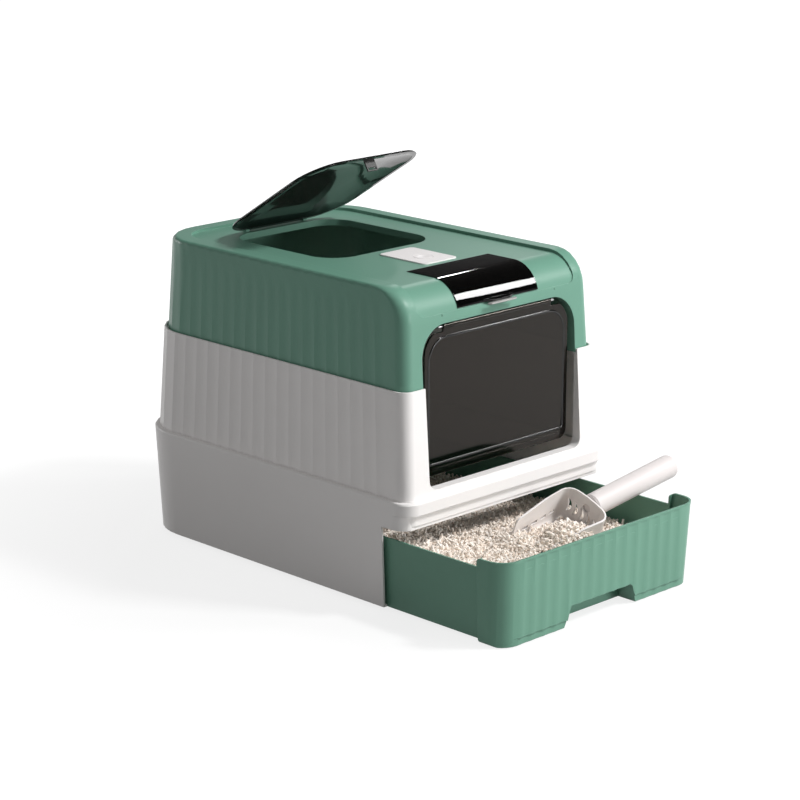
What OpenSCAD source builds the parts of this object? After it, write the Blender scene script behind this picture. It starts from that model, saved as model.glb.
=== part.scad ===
// Litter box with a pull-out litter drawer, a two-storey cabin, a swinging door flap,
// a hinged roof lid over the top entry, a filter window and a litter scoop.
// Millimetres. +X runs across the front to the right, -Y faces the user, +Z is up.
// The origin is on the floor, in the middle of the base.

/* [Cabin] */
// Overall height with the roof lid shut, without the lid's own dome
total_h = 416; // [384:1:460]
// Height of the joint between base and middle ring
base_top_z = 151; // [144:1:165]
// Height of the joint between middle ring and hood
ring_top_z = 290; // [274:1:300]
// Width of the base over its shoulder
base_w = 380; // [340:1:440]
// Length of the base over its shoulder
base_l = 542; // [500:1:600]
// How far the base narrows towards the floor, each side
base_taper = 5.5; // [2:0.5:8]
// Shoulder between base edge and middle ring, each side
shoulder = 6.5; // [5:0.5:8]
// How far the middle ring narrows towards its top, at each flank
ring_taper_x = 5; // [2:0.5:8]
// How far the middle ring narrows towards its top, front and rear
ring_taper_y = 9; // [4:0.5:12]
// Step from the ring's lip in to the hood, each side
hood_step = 4; // [3.6:0.1:5]
// How far the hood narrows towards its top, each side
hood_taper = 6; // [2:0.5:9]
// Moulded wall thickness
wall = 2.8; // [2:0.1:3.2]
// Upright corner radius at the front of the cabin
front_r = 16; // [12:1:24]
// Upright corner radius at the rear of the cabin
rear_r = 76; // [50:1:90]
// Radius of the bend between the hood's front and its roof
bend_r = 46; // [42:1:50]
// Rounding along the hood's other top edges
edge_r = 6; // [5:0.5:9]
// Width of one flute on the cabin walls
flute_pitch = 23.5; // [18:0.5:30]
// Depth of a flute
flute_d = 1; // [0.4:0.1:1.4]
// Plain strip between the front corner and the first flute
flute_start = 13; // [6:1:30]

/* [Base] */
// Height of the flange that overhangs the drawer opening
flange_h = 17.5; // [12:0.5:22]
// Height of the drawer opening
mouth_h = 114; // [112:0.5:118]
// Set-back of the rail under the flange
rail_in = 5; // [3:0.5:6]
// Set-back of the side walls' front edges, which the drawer front fills
cheek_in = 46.5; // [40:0.5:56]
// Height of the rubber feet below the base floor
foot_h = 5.5; // [4:0.5:7]
// Radius of a rubber foot
foot_r = 11; // [8:0.5:14]

/* [Drawer] */
// How far the drawer stands out at rest, against its stops
drawer_out = 161; // [120:1:200]
// Height of the drawer's side walls
tray_h = 98; // [84:1:100]
// Gap between drawer and base walls, each side
tray_gap = 5; // [4:0.5:7]
// Depth of the drawer's taller front, front to back
bezel_l = 45; // [38:0.5:52]
// Corner radius of the drawer's front
bezel_r = 27; // [20:1:34]
// Gap over and beside the drawer's front when shut
bezel_gap = 1.8; // [1:0.1:2.5]
// Half the width of the finger notch at the bottom edge
notch_w = 68; // [50:1:85]
// Height of the finger notch
notch_h = 28; // [22:1:34]
// Flutes across the drawer's front
bezel_flutes = 14; // [10:1:18]
// Depth of a flute on the drawer's front
bezel_d = 0.6; // [0.2:0.1:1]
// Rounding of the finger notch's corners
notch_r = 6; // [4:0.5:12]
// How far each side of the finger notch leans in towards its top
notch_lean = 8; // [4:0.5:10]

/* [Litter] */
// Height of the litter at the left side of the drawer
litter_high = 84; // [60:1:88]
// Height of the litter at the right side of the drawer
litter_low = 50; // [36:1:60]

/* [Door] */
// Half the width of the doorway
door_w = 141.5; // [120:0.5:145]
// Height of the door sill
sill_z = 158.5; // [156:0.5:170]
// Drop from the roof's rim to the top of the doorway
door_drop = 51; // [50:0.5:60]
// Corner radius at the top of the doorway
door_r = 42; // [30:1:50]
// Corner radius at the bottom of the doorway
sill_r = 13; // [8:1:18]
// Depth of the jamb behind the doorway's edge
jamb_d = 11; // [8:0.5:14]
// Gap between flap and jamb, each side
flap_gap = 8.5; // [6:0.5:12]
// Gap between flap and sill
flap_sill_gap = 11.5; // [8:0.5:16]
// Thickness of the flap
flap_t = 3; // [2:0.1:4]
// Radius of a hinge rod
rod_r = 1.5; // [1.2:0.1:2]
// Radial clearance round a hinge rod
rod_fit = 0.05; // [0.02:0.01:0.09]

/* [Roof] */
// Depth of the roof panel below its rim
roof_in = 4; // [3:0.1:4.4]
// Width of the rim round the roof panel
rim_w = 25; // [18:0.5:32]
// Half the width of the top entry hole
hole_w = 98; // [80:1:102]
// Distance from the base's front to the top entry hole
hole_front_in = 230; // [227:1:235]
// Distance from the top entry hole to the base's rear
hole_back_in = 104; // [99:1:121]
// Corner radius of the top entry hole
hole_r = 42; // [25:1:50]
// How far the roof lid laps over the hole's edge
lid_lap = 9; // [7:0.5:10]
// Rise of the lid's dome over its edge
lid_dome = 5; // [3:0.5:8]
// Thickness of the lid
lid_t = 2.6; // [2:0.1:3.2]
// Angle at which the roof lid stands open at rest
lid_angle = 31.5; // [10:0.5:60]

/* [Latch] */
// Half the width of the latch plate
plate_w = 31; // [28:0.5:36]
// Length of the latch plate
plate_l = 85; // [80:1:88]
// Radius of the round latch button
button_r = 12.5; // [10:0.5:14]
// Travel of the latch button
button_travel = 3; // [2:0.1:3.5]

/* [Filter window] */
// Half the width of the filter window
window_w = 74; // [60:1:90]
// Distance from the base's front to the filter window's rear edge
window_back_in = 118; // [115:1:121]
// Drop from the roof's rim to the window's lower edge on the hood's front
window_drop = 36; // [34:0.5:38]
// Thickness of the window cover
window_t = 2.5; // [2:0.1:3]
// Depth of the filter tray under the roof
tray_deep = 38; // [34:0.5:40]

/* [Scoop] */
// Length of the scoop's basket
basket_l = 108; // [90:1:120]
// Width of the basket at its rear
basket_w = 76; // [70:1:86]
// Height of the basket's rear wall
basket_h = 56; // [48:1:60]
// Height of the basket's side walls at the lip
lip_side_h = 45; // [30:1:47]
// Wall of the basket
basket_t = 2.4; // [1.8:0.1:3]
// Length of the handle behind the basket
handle_l = 178; // [140:1:190]
// Radius of the handle
handle_r = 16; // [13:0.5:17]
// Where the scoop's rear wall lies, to the right of the middle
scoop_x = 82; // [72:1:92]
// Distance from the drawer's front to the middle of the scoop
scoop_in = 115; // [108:0.5:118]
// How steeply the scoop rises towards its handle
scoop_pitch = 7; // [5:0.5:10]
// How far the scoop rolls towards the user
scoop_roll = 24; // [14:0.5:28]
// How far the scoop turns in the drawer
scoop_yaw = 4.5; // [0:0.5:8]

/* [Hidden] */

green = [0.49, 0.70, 0.62];
white = [0.95, 0.94, 0.93];
smoke = [0.16, 0.15, 0.15, 0.8];
steel = [0.75, 0.76, 0.78];
rubber = [0.12, 0.12, 0.12];

seat_gap = 0.3;                       // between pieces that only lie on each other
fine = 48;                            // sides of an exact round that nothing turns in

// Cabin outlines, worked out from the driving sizes
ring_w = base_w - 2 * shoulder;
ring_l = base_l - 2 * shoulder - 1;
ring_top_w = ring_w - 2 * ring_taper_x;
ring_top_l = ring_l - 2 * ring_taper_y;
hood_w = ring_top_w - 2 * hood_step;
hood_l = ring_top_l - 2 * hood_step;
hood_top_w = hood_w - 2 * hood_taper + 2;
hood_top_l = hood_l - 2 * hood_taper - 3;
ledge_z = ring_top_z - 5;             // the hood's wall stands on this ledge
bend_z = total_h - bend_r;
base_rear_r = rear_r + shoulder;
base_front_r = front_r + shoulder;
floor_z = foot_h + wall;              // upper face of the base floor
flange_z = base_top_z - flange_h;
door_top_z = total_h - door_drop;
window_low_z = total_h - window_drop;
hole_front = hole_front_in - base_l / 2;
hole_back = base_l / 2 - hole_back_in;
window_back = window_back_in - base_l / 2;

function mix(a, b, t) = a + (b - a) * t;
function ring_at(z) = (z - base_top_z) / (ring_top_z - base_top_z);
function hood_at(z) = (z - ring_top_z) / (total_h - ring_top_z);
function base_in(z) = base_taper * (base_top_z - z) / base_top_z;
function hood_face(z) = mix(hood_l, hood_top_l, hood_at(z)) / 2;
bend_y = -hood_face(bend_z) + bend_r; // centre of the front bend
function bend_face(z) = z <= bend_z ? hood_face(z)
    : -bend_y + sqrt(max(0, bend_r * bend_r - (z - bend_z) * (z - bend_z)));
function edge_in(z) = z <= total_h - edge_r ? 0
    : edge_r - sqrt(max(0, edge_r * edge_r - pow(z - total_h + edge_r, 2)));

// One rounded corner of an outline
function corner(cx, cy, r, a0, n) =
    [for (i = [0:n]) let (a = a0 + 90 * i / n) [cx + r * cos(a), cy + r * sin(a)]];

// Smooth outline: half width w, front at -f, rear at b
function outline(w, f, b, rf, rr, nf = 5, nr = 8) = concat(
    corner(w - rf, -f + rf, rf, -90, nf), corner(w - rr, b - rr, rr, 0, nr),
    corner(-w + rr, b - rr, rr, 90, nr), corner(-w + rf, -f + rf, rf, 180, nf));

// A point and its outward direction at distance s along flank, rear corner, rear and back
function wall_at(s, w, y0, b, rr) =
    let (side = b - rr - y0, arc = rr * PI / 2, back = 2 * (w - rr))
    s < side ? [w, y0 + s, 0]
    : s < side + arc ? let (a = (s - side) / arc * 90)
        [w - rr + rr * cos(a), b - rr + rr * sin(a), a]
    : s < side + arc + back ? [w - rr - (s - side - arc), b, 90]
    : s < side + 2 * arc + back ? let (a = 90 + (s - side - arc - back) / arc * 90)
        [-w + rr + rr * cos(a), b - rr + rr * sin(a), a]
    : [-w, b - rr - (s - side - 2 * arc - back), 180];

// Outline with flutes round both flanks and the rear
function fluted(w, f, b, rf, rr, n, d, nf = 5) =
    let (y0 = -f + rf, run = 2 * (b - rr - y0) + PI * rr + 2 * (w - rr))
    concat(corner(w - rf, -f + rf, rf, -90, nf),
        [for (i = [0:n - 1]) for (t = [0, 0.3, 0.7])
            let (p = wall_at(flute_start + (i + t) / n * (run - 2 * flute_start), w, y0, b, rr),
                e = d * 4 * t * (1 - t))
            [p[0] - e * cos(p[2]), p[1] - e * sin(p[2])]],
        [[-w, y0 + flute_start]],
        corner(-w + rf, -f + rf, rf, 180, nf));
flute_n = round((2 * (ring_l - rear_r - front_r - flute_start) + PI * rear_r + ring_w - 2 * rear_r)
    / flute_pitch);

// Skin through a list of [height, outline] levels, all with as many points
module loft(levels) {
    n = len(levels[0][1]);
    m = len(levels);
    polyhedron(
        points = [for (l = levels) for (p = l[1]) [p[0], p[1], l[0]]],
        faces = concat(
            [[for (i = [0:n - 1]) i]],
            [for (k = [0:m - 2]) for (i = [0:n - 1])
                [k * n + i, (k + 1) * n + i, (k + 1) * n + (i + 1) % n]],
            [for (k = [0:m - 2]) for (i = [0:n - 1])
                [k * n + i, (k + 1) * n + (i + 1) % n, k * n + (i + 1) % n]],
            [[for (i = [n - 1:-1:0]) (m - 1) * n + i]]));
}

// Cuts what it holds off level below and above
module trimmed(z0, z1) difference() {
    children();
    translate([-base_w, -base_l, z0 - total_h]) cube([2 * base_w, 2 * base_l, total_h]);
    translate([-base_w, -base_l, z1]) cube([2 * base_w, 2 * base_l, total_h]);
}

// Flat rounded rectangle from one corner to the other, with true arcs
module panel(x0, y0, x1, y1, r) {
    translate([x0 + r, y0]) square([x1 - x0 - 2 * r, y1 - y0]);
    translate([x0, y0 + r]) square([x1 - x0, y1 - y0 - 2 * r]);
    for (x = [x0 + r, x1 - r], y = [y0 + r, y1 - r]) translate([x, y]) circle(r, $fn = fine);
}

// A rod along X
module rod(r, len, x = 0, y = 0, z = 0)
    translate([x - len / 2, y, z]) rotate([0, 90, 0]) cylinder(r = r, h = len, $fn = fine);

// ---- Base ----

module base_skin(inset, z0, z1, front) {
    function row(z) = let (i = inset + base_in(z))
        [z, outline(base_w / 2 - i, front - i, base_l / 2 - i,
            max(2, base_front_r - inset), max(4, base_rear_r - inset))];
    loft([row(z0), row(z1)]);
}

// Lower housing, open in front for the drawer
module base_housing() color(white) {
    front = base_l / 2;
    difference() {
        union() {
            base_skin(0, foot_h, flange_z + 0.01, front - rail_in);
            base_skin(0, flange_z, base_top_z - 3, front);
            loft([[base_top_z - 3, outline(base_w / 2, front, front, base_front_r, base_rear_r)],
                [base_top_z - 0.9, outline(base_w / 2 - 0.9, front - 0.9, front - 0.9,
                    base_front_r, base_rear_r)],
                [base_top_z, outline(base_w / 2 - 3, front - 3, front - 3, base_front_r - 3,
                    base_rear_r - 3)]]);
        }
        base_skin(wall, floor_z, base_top_z - wall, front - rail_in);
        // opening that the middle ring's skirt drops into
        loft([for (z = [base_top_z - 2 * wall, base_top_z + 1]) [z, outline(seat_w, seat_l, seat_l,
            max(3, front_r - wall - 2), rear_r - wall - 2)]]);
        // mouth for the drawer
        translate([-base_w, -base_l, -1]) cube([2 * base_w, base_l / 2 + cheek_in, mouth_h + 1]);
        // lower band of the rail over the mouth, set back a little
        translate([-base_w, -base_l, mouth_h - 1])
            cube([2 * base_w, base_l - front + rail_in + base_in(mouth_h) + rail_step, rail_band + 1]);
        // slots that the drawer's side skirts run in
        for (s = [-1, 1]) translate([s * (tray_low_w - tray_wall / 2), -cheek_y - 1, foot_h - 1])
            translate([-tray_wall / 2 - 1, 0, 0]) cube([tray_wall + 2, skirt_back + 5 + cheek_y, wall + 2]);
        // pockets for the feet and holes for the runner screws
        for (p = foot_places()) translate([p[0], p[1], 0])
            cylinder(r = foot_r + seat_gap, h = foot_h + 1.2, $fn = fine);
        for (s = [-1, 1], y = screw_ys) translate([s * runner_x, y, 0])
            cylinder(r = screw_r + rod_fit, h = floor_z + 1, $fn = fine);
    }
    // bead along the rear wall that stops the drawer when it is shut
    for (x = [-60, 60]) translate([x - 5, tray_back + seat_gap, floor_z - 0.5])
        cube([10, base_l / 2 - base_taper - wall - tray_back + 1, 30]);
}
seat_w = ring_w / 2 - wall - 2;
seat_l = ring_l / 2 - wall - 2;
rail_band = 4.6;
rail_step = 1.2;

function foot_places() = concat([[0, 0]], [for (s = [-1, 1],
    y = [-cheek_y + foot_r + 8, cheek_y - foot_r + 6]) [s * (base_w / 2 - 62), y]]);
cheek_y = base_l / 2 - cheek_in;

module base_feet() color(rubber) for (p = foot_places()) translate([p[0], p[1], 0]) {
    cylinder(r = foot_r, h = foot_h + 1.2 - seat_gap / 3, $fn = fine);
}

// ---- Runners ----
screw_r = 1.6;
runner_x = base_w / 2 - 34;
runner_w = 16;
runner_t = 2;
runner_front = -cheek_y + 8;
runner_back = base_l / 2 - base_rear_r;
screw_ys = [runner_front + 20, (runner_front + runner_back) / 2, runner_back - 20];
tray_z = floor_z + runner_t + seat_gap;   // underside of the drawer tray
guide_h = 9;
guide_front = -cheek_y + drawer_out + 18;

module runner(s) {
    outer = tray_low_w + seat_gap + 0.4;
    difference() {
        union() {
            translate([0, 0, floor_z]) linear_extrude(runner_t) hull() {
                translate([s * runner_x - runner_w / 2, runner_front]) square([runner_w, 1]);
                translate([s * runner_x - runner_w / 2 + 3, runner_back + 6]) square([runner_w - 6, 1]);
            }
            // web out to the guide that keeps the drawer straight
            translate([s > 0 ? runner_x : -outer - 1.6, guide_front, floor_z])
                cube([outer + 1.6 - runner_x, runner_back - 10 - guide_front, 1.2]);
            translate([s > 0 ? outer : -outer - 1.6, guide_front, floor_z])
                cube([1.6, runner_back - 10 - guide_front, guide_h]);
        }
        for (y = screw_ys) translate([s * runner_x, y, floor_z - 1]) {
            cylinder(r = screw_r + rod_fit, h = 9, $fn = fine);
            translate([0, 0, 1 + runner_t - 1.2]) cylinder(r1 = screw_r + 0.1, r2 = screw_r + 1.6,
                h = 1.3, $fn = fine);
        }
    }
}
module left_runner() color(white) runner(-1);
module right_runner() color(white) runner(1);
module runner_screws() color(steel)
    for (s = [-1, 1], y = screw_ys) translate([s * runner_x, y, foot_h + 0.2]) {
        cylinder(r = screw_r, h = floor_z + runner_t - foot_h - 0.5, $fn = fine);
        translate([0, 0, floor_z + runner_t - foot_h - 1.4])
            cylinder(r1 = screw_r, r2 = screw_r + 1.1, h = 1, $fn = fine);
    }

// ---- Drawer ----
function base_inner(z) = base_w / 2 - base_in(z) - wall;
tray_top_w = base_inner(tray_h) - tray_gap;
tray_low_w = tray_top_w - 3;
tray_len = base_l - base_taper - wall - 8;
bezel_front = base_l / 2 - 0.5;               // shut, at the top edge
bezel_top = mouth_h - bezel_gap;
tray_back = tray_len - bezel_front;           // shut
bezel_w = base_w / 2 - base_in(bezel_top) - 2.6;
bezel_low = 1;
tray_wall = 2.6;
tray_rear_r = base_rear_r - wall - tray_gap;
stop_shut_y = -cheek_y + 14 + drawer_out;
pocket_d = 34;
skirt_low = 4.8;                      // lower edge of the skirts under the tray's sides
skirt_back = -cheek_y + drawer_out + 6.5;

module tray_outer(i, z0, z1) {
    function row(z) = let (t = (z - tray_z) / (tray_h - tray_z), w = mix(tray_low_w, tray_top_w, t) - i)
        [z, outline(w, bezel_front - 4 + 3 * t - i, tray_back - 3 + 3 * t - i,
            max(3, bezel_r - 4 - i), tray_rear_r - i)];
    loft([row(z0), row(z1)]);
}

// The taller front: a fluted, rounded panel that wraps the tray's front corners
bezel_run = bezel_w - bezel_r - 9;             // half the fluted width
lip_h = 3.5;
function bezel_face(w, f, d) = concat([[-bezel_run, -f]], [for (k = [0:bezel_flutes - 1])
    for (t = [0.25, 0.5, 0.75, 1])
    [-bezel_run + 2 * bezel_run * (k + t) / bezel_flutes, -f + d * 4 * t * (1 - t)]]);
function bezel_row(z, i, d, back = 0) = let (q = (bezel_top - z) / bezel_top, w = bezel_w - 4 * q - i,
        f = bezel_front - 5 * q - i, r = bezel_r - i, y = -bezel_front + bezel_l - back)
    [z, concat(corner(-w + r, -f + r, r, 180, 6), bezel_face(w, f, d), corner(w - r, -f + r, r, 270, 6),
        [[w, y], [-w, y]])];
module bezel() difference() {
    trimmed(bezel_low, bezel_top + 1) loft([bezel_row(bezel_low - 3, 0, bezel_d),
        bezel_row(bezel_top - lip_h, 0, bezel_d), bezel_row(bezel_top - lip_h + 0.6, -0.3, 0),
        bezel_row(bezel_top, -0.3, 0)]);
    // bottom corners, rounded as seen from the front
    for (s = [-1, 1]) through_front(-base_l, -bezel_front + bezel_l + 1) {
        r = bezel_foot_r;
        x = bezel_w - 4 * (bezel_top - bezel_low - r) / bezel_top - r;
        difference() {
            translate([s > 0 ? x : -x - r - 9, bezel_low - 2]) square([r + 9, r + 2]);
            translate([s * x, bezel_low + r]) circle(r, $fn = fine);
        }
    }
}
bezel_foot_r = 6;
// Skirts under the tray's sides, as far as the open drawer shows them
module side_skirts() difference() {
    tray_outer(0, skirt_low, tray_z + 0.6);
    tray_outer(tray_wall, skirt_low - 1, tray_z + 1.6);
    translate([-base_w, -2 * base_l - bezel_front + bezel_l - 1, 0]) cube([2 * base_w, 2 * base_l, tray_h]);
    translate([-base_w, skirt_back, 0]) cube([2 * base_w, 2 * base_l, tray_h]);
}
module bezel_core(i, z0, z1, back) loft([bezel_row(z0, i, 0, back), bezel_row(z1, i, 0, back)]);
// The taller front's rear edges, rounded at the top
module bezel_ends() {
    r = 6;
    y = -bezel_front + bezel_l;
    translate([0, 0, 0]) along_x(-base_w, base_w) difference() {
        translate([y - r, bezel_top - r]) square([r + 1, r + 1]);
        translate([y - r, bezel_top - r]) circle(r, $fn = fine);
    }
}

// Finger notch in the X-Z plane, with rounded corners above and at the floor
module notch(grow, d) translate([0, d - bezel_front - 5, 0]) rotate([90, 0, 0]) linear_extrude(d) {
    w = notch_w + grow;
    u = w - notch_lean;
    h = notch_h + grow;
    r = notch_r;
    difference() {
        polygon(concat([[-w, -5], [-w, bezel_low]],
            [for (a = [180:-15:90]) [-u + r + r * cos(a), h - r + r * sin(a)]],
            [for (a = [90:-15:0]) [u - r + r * cos(a), h - r + r * sin(a)]],
            [[w, bezel_low], [w, -5]]));
    }
}

module drawer_tray() color(green) translate([0, -drawer_out, 0]) difference() {
    union() {
        difference() {
            union() {
                tray_outer(0, tray_z, tray_h);
                bezel();
                side_skirts();
            }
            tray_outer(tray_wall, tray_z + tray_wall, bezel_top + 2);
            bezel_core(tray_wall, tray_z + tray_wall, bezel_top + 1, tray_wall);
            // the skirt below the tray's floor is open behind
            bezel_core(tray_wall, -1, tray_z - 0.01, -1);
            bezel_ends();
        }
        // hand pocket behind the notch
        intersection() {
            notch(tray_wall, pocket_d + 5 + tray_wall);
            bezel_core(0.5, bezel_low, bezel_top, 0);
        }
        // stop bumps that stand against the clips
        for (s = [-1, 1]) translate([s * (tray_top_w - 0.6) - (s < 0 ? 1.9 : 0), stop_shut_y, tray_h - 16])
            cube([1.9, 6, 10]);
    }
    notch(0, pocket_d + 5);
}

stop_drop = 18;
module drawer_stops() color(white) for (s = [-1, 1])
    translate([0, -cheek_y + 6, tray_h - stop_drop]) {
        w = base_inner(tray_h - stop_drop);
        intersection() {
            translate([s > 0 ? tray_top_w + 1 : -w - 1, 0, 0]) cube([w - tray_top_w, 7.5, 14]);
            translate([0, cheek_y - 6, -tray_h + stop_drop]) base_skin(wall + 0.05, floor_z, base_top_z - wall,
                base_l / 2 - rail_in);
        }
    }

// Litter: a heap that is deep at the left and front and runs out at the right
litter_nx = 14;
litter_ny = 18;
litter_gap = 1;
function heap(u, v) = let (s = (u + 1) / 2)
    mix(litter_high, litter_low, s) + 5 * cos(150 * v + 60 * u) + 3 * sin(220 * u - 80 * v) - 4 * pow(abs(u), 6);

module litter_bed() color([0.86, 0.83, 0.76]) translate([0, -drawer_out, 0]) difference() {
    intersection() {
        tray_outer(tray_wall + litter_gap, tray_z + tray_wall + seat_gap, tray_h - 1);
        litter_field();
    }
    // the hand pocket stands up through the litter
    translate([-notch_w - 4, -bezel_front, 0]) cube([2 * notch_w + 8, pocket_d + 8, notch_h + tray_wall + 2]);
    translate([0, drawer_out, 0]) scoop_clear();
}

module litter_field() {
    w = tray_top_w + 4;
    x0 = -w;
    y0 = -bezel_front - 2;
    y1 = tray_back + 2;
    nx = litter_nx;
    ny = litter_ny;
    function at(i, j) = [mix(x0, w, i / nx), mix(y0, y1, j / ny),
        heap(2 * i / nx - 1, 2 * j / ny - 1)];
    k = (nx + 1) * (ny + 1);
    polyhedron(
        points = concat([for (j = [0:ny], i = [0:nx]) at(i, j)],
            [for (j = [0:ny], i = [0:nx]) let (p = at(i, j)) [p[0], p[1], 0]]),
        faces = concat(
            [for (j = [0:ny - 1], i = [0:nx - 1]) let (a = j * (nx + 1) + i) [a, a + nx + 1, a + nx + 2]],
            [for (j = [0:ny - 1], i = [0:nx - 1]) let (a = j * (nx + 1) + i) [a, a + nx + 2, a + 1]],
            [for (j = [0:ny - 1], i = [0:nx - 1]) let (a = k + j * (nx + 1) + i) [a, a + 1, a + nx + 2]],
            [for (j = [0:ny - 1], i = [0:nx - 1]) let (a = k + j * (nx + 1) + i) [a, a + nx + 2, a + nx + 1]],
            [for (i = [0:nx - 1]) [i, i + 1, k + i + 1, k + i]],
            [for (i = [0:nx - 1]) let (a = ny * (nx + 1) + i) [a + 1, a, k + a, k + a + 1]],
            [for (j = [0:ny - 1]) let (a = j * (nx + 1)) [a + nx + 1, a, k + a, k + a + nx + 1]],
            [for (j = [0:ny - 1]) let (a = j * (nx + 1) + nx) [a, a + nx + 1, k + a + nx + 1, k + a]]));
}

// ---- Middle ring ----
function ring_half(z) = mix(ring_w, ring_top_w, ring_at(z)) / 2;
function ring_face(z) = mix(ring_l, ring_top_l, ring_at(z)) / 2;

// Doorway outline in the X-Z plane, open downwards or upwards as asked
module doorway(grow, z0, z1) {
    w = door_w + grow;
    intersection() {
        union() {
            translate([-w, sill_z + sill_r - grow]) square([2 * w, door_top_z - door_r - sill_z - sill_r + grow]);
            translate([-w + sill_r, sill_z - grow]) square([2 * (w - sill_r), 60]);
            translate([-w + door_r, sill_z + 60]) square([2 * (w - door_r), door_top_z - sill_z - 60 + grow]);
            for (s = [-1, 1]) {
                translate([s * (w - sill_r), sill_z + sill_r - grow]) circle(sill_r, $fn = fine);
                translate([s * (w - door_r), door_top_z - door_r + grow]) circle(door_r, $fn = fine);
            }
        }
        translate([-base_w, z0]) square([2 * base_w, z1 - z0]);
    }
}
module through_front(y0, y1) translate([0, y1, 0]) rotate([90, 0, 0]) linear_extrude(y1 - y0) children();

function ring_row(z, i) = [z, outline(ring_half(z) - i, ring_face(z) - i, ring_face(z) - i,
    max(3, front_r - i), rear_r - i)];
module mid_ring() color(white) {
    top = ring_top_z;
    low = base_top_z;
    difference() {
        union() {
            difference() {
                union() {
                    trimmed(low, top) loft([for (z = [low - 3, top + 3]) [z, fluted(ring_half(z),
                        ring_face(z), ring_face(z), front_r, rear_r, flute_n, flute_d)]]);
                    // skirt inside the base's opening
                    loft([for (z = [low - 7, low + 1]) [z, ring_row(low, wall + 2.6)[1]]]);
                }
                loft([ring_row(low + wall, wall), ring_row(ledge_z - wall, wall)]);
                loft([for (z = [low - 8, low + wall + 1]) [z, ring_row(low, wall + 4.8)[1]]]);
                // ledge for the hood near the top
                loft([for (z = [ledge_z, top + 1]) [z, ring_row(top, wall - 0.3)[1]]]);
                loft([for (z = [ledge_z - wall - 1, ledge_z + 1]) [z, ring_row(ledge_z, wall + 5)[1]]]);
            }
            // jamb round the doorway
            intersection() {
                difference() {
                    through_front(-base_l / 2, -ring_face(sill_z) + wall + jamb_d)
                        doorway(wall, low, ledge_z - wall);
                    through_front(-base_l, 0) doorway(0, sill_z, total_h);
                }
                loft([ring_row(low + 0.5, 0.6), ring_row(top - 5, 0.6)]);
            }
        }
        through_front(-base_l, -ring_face(top) + jamb_d + 12) doorway(0, sill_z, total_h);
    }
}

// ---- Hood ----
roof_z = total_h - roof_in;
roof_w = hood_top_w / 2 - rim_w;
roof_bend = bend_r - roof_in / 2 - 0.4;
roof_back = hood_top_l / 2 - rim_w;
groove_z = window_low_z - 2;                   // where the sunken panel ends on the front
groove_r = 12;                                 // rounding of its lower corners

function hood_row(z, i, d) = let (e = edge_in(z), w = mix(hood_w, hood_top_w, hood_at(z)) / 2 - e - i,
        b = hood_face(z) - e - i, f = bend_face(z) - i)
    [z, fluted(w, f, b, front_r, max(6, rear_r - e - i), flute_n, d * (1 - pow(e / edge_r, 2)))];
function hood_smooth(z, i, zz) = let (e = edge_in(zz), w = mix(hood_w, hood_top_w, hood_at(zz)) / 2 - e - i,
        b = hood_face(zz) - e - i, f = bend_face(zz) - i)
    [z, outline(w, f, b, max(3, front_r - i), max(6, rear_r - e - i), 4, 8)];
bend_steps = [bend_z, bend_z + bend_r * sin(15), bend_z + bend_r * sin(30), bend_z + bend_r * sin(44),
    total_h - edge_r, total_h - edge_r * 0.45, total_h - edge_r * 0.12, total_h];

module hood_solid() trimmed(ledge_z, total_h + 1)
    loft(concat([hood_row(ledge_z - 3, 0, flute_d)], [for (z = bend_steps) hood_row(z, 0, flute_d)]));

// Hollow of the hood, a wall thickness inside its faces and under the sunken roof
module hood_hollow() {
    drop = roof_in + wall;
    loft(concat([hood_smooth(ledge_z - 1, wall, ledge_z)],
        [for (z = bend_steps) hood_smooth(z - drop * max(0, (z - bend_z) / bend_r), wall, z)]));
}

// Profile of the sunken roof in Y-Z: flat top, bend and a short run down the front
module roof_profile(r, top, face) {
    union() {
        translate([face + r, top - r]) circle(r, $fn = 96);
        translate([face + r, top - 2 * bend_r]) square([base_l, 2 * bend_r]);
        translate([face, top - 2 * bend_r - r]) square([base_l, 2 * bend_r]);
    }
}
module along_x(x0, x1) translate([x0, 0, 0]) rotate([90, 0, 90]) linear_extrude(x1 - x0) children();

roof_face = -hood_face(bend_z) + 0.9;          // front face of the sunken panel
module roof_cut() {
    difference() {
        intersection() {
            translate([0, 0, groove_z]) linear_extrude(total_h)
                panel(-roof_w, -base_l, roof_w, roof_back, rear_r - rim_w);
            through_front(-base_l, base_l) panel(-roof_w, groove_z, roof_w, 2 * total_h, groove_r);
        }
        along_x(-base_w, base_w) roof_profile(roof_bend, roof_z, roof_face);
    }
}

ft_fit = 0.5;                         // room round the filter tray
ft_w = window_w - 8;
ft_front = roof_face + 9;
ft_back = window_back - 9;
ft_low = roof_z - tray_deep;
hinge_z = door_top_z - 4.5;
hinge_y = -hood_face(hinge_z) + 4.5;
lug_in = door_w - door_r + 0.5;
lug_w = 7;
lid_hinge_y = hole_back + lid_lap + 2.5;
lid_hinge_z = roof_z + 4.2;
lid_lug_x = 50;
window_barrel = 3.1;
window_pin_y = window_back - window_barrel;
window_pin_z = roof_z - window_barrel + 1.2;
pin_r = 1;
plate_back = hole_front - lid_lap - 8;
plate_front = plate_back - plate_l;
button_y = mix(plate_back, plate_front, 0.61);

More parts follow.
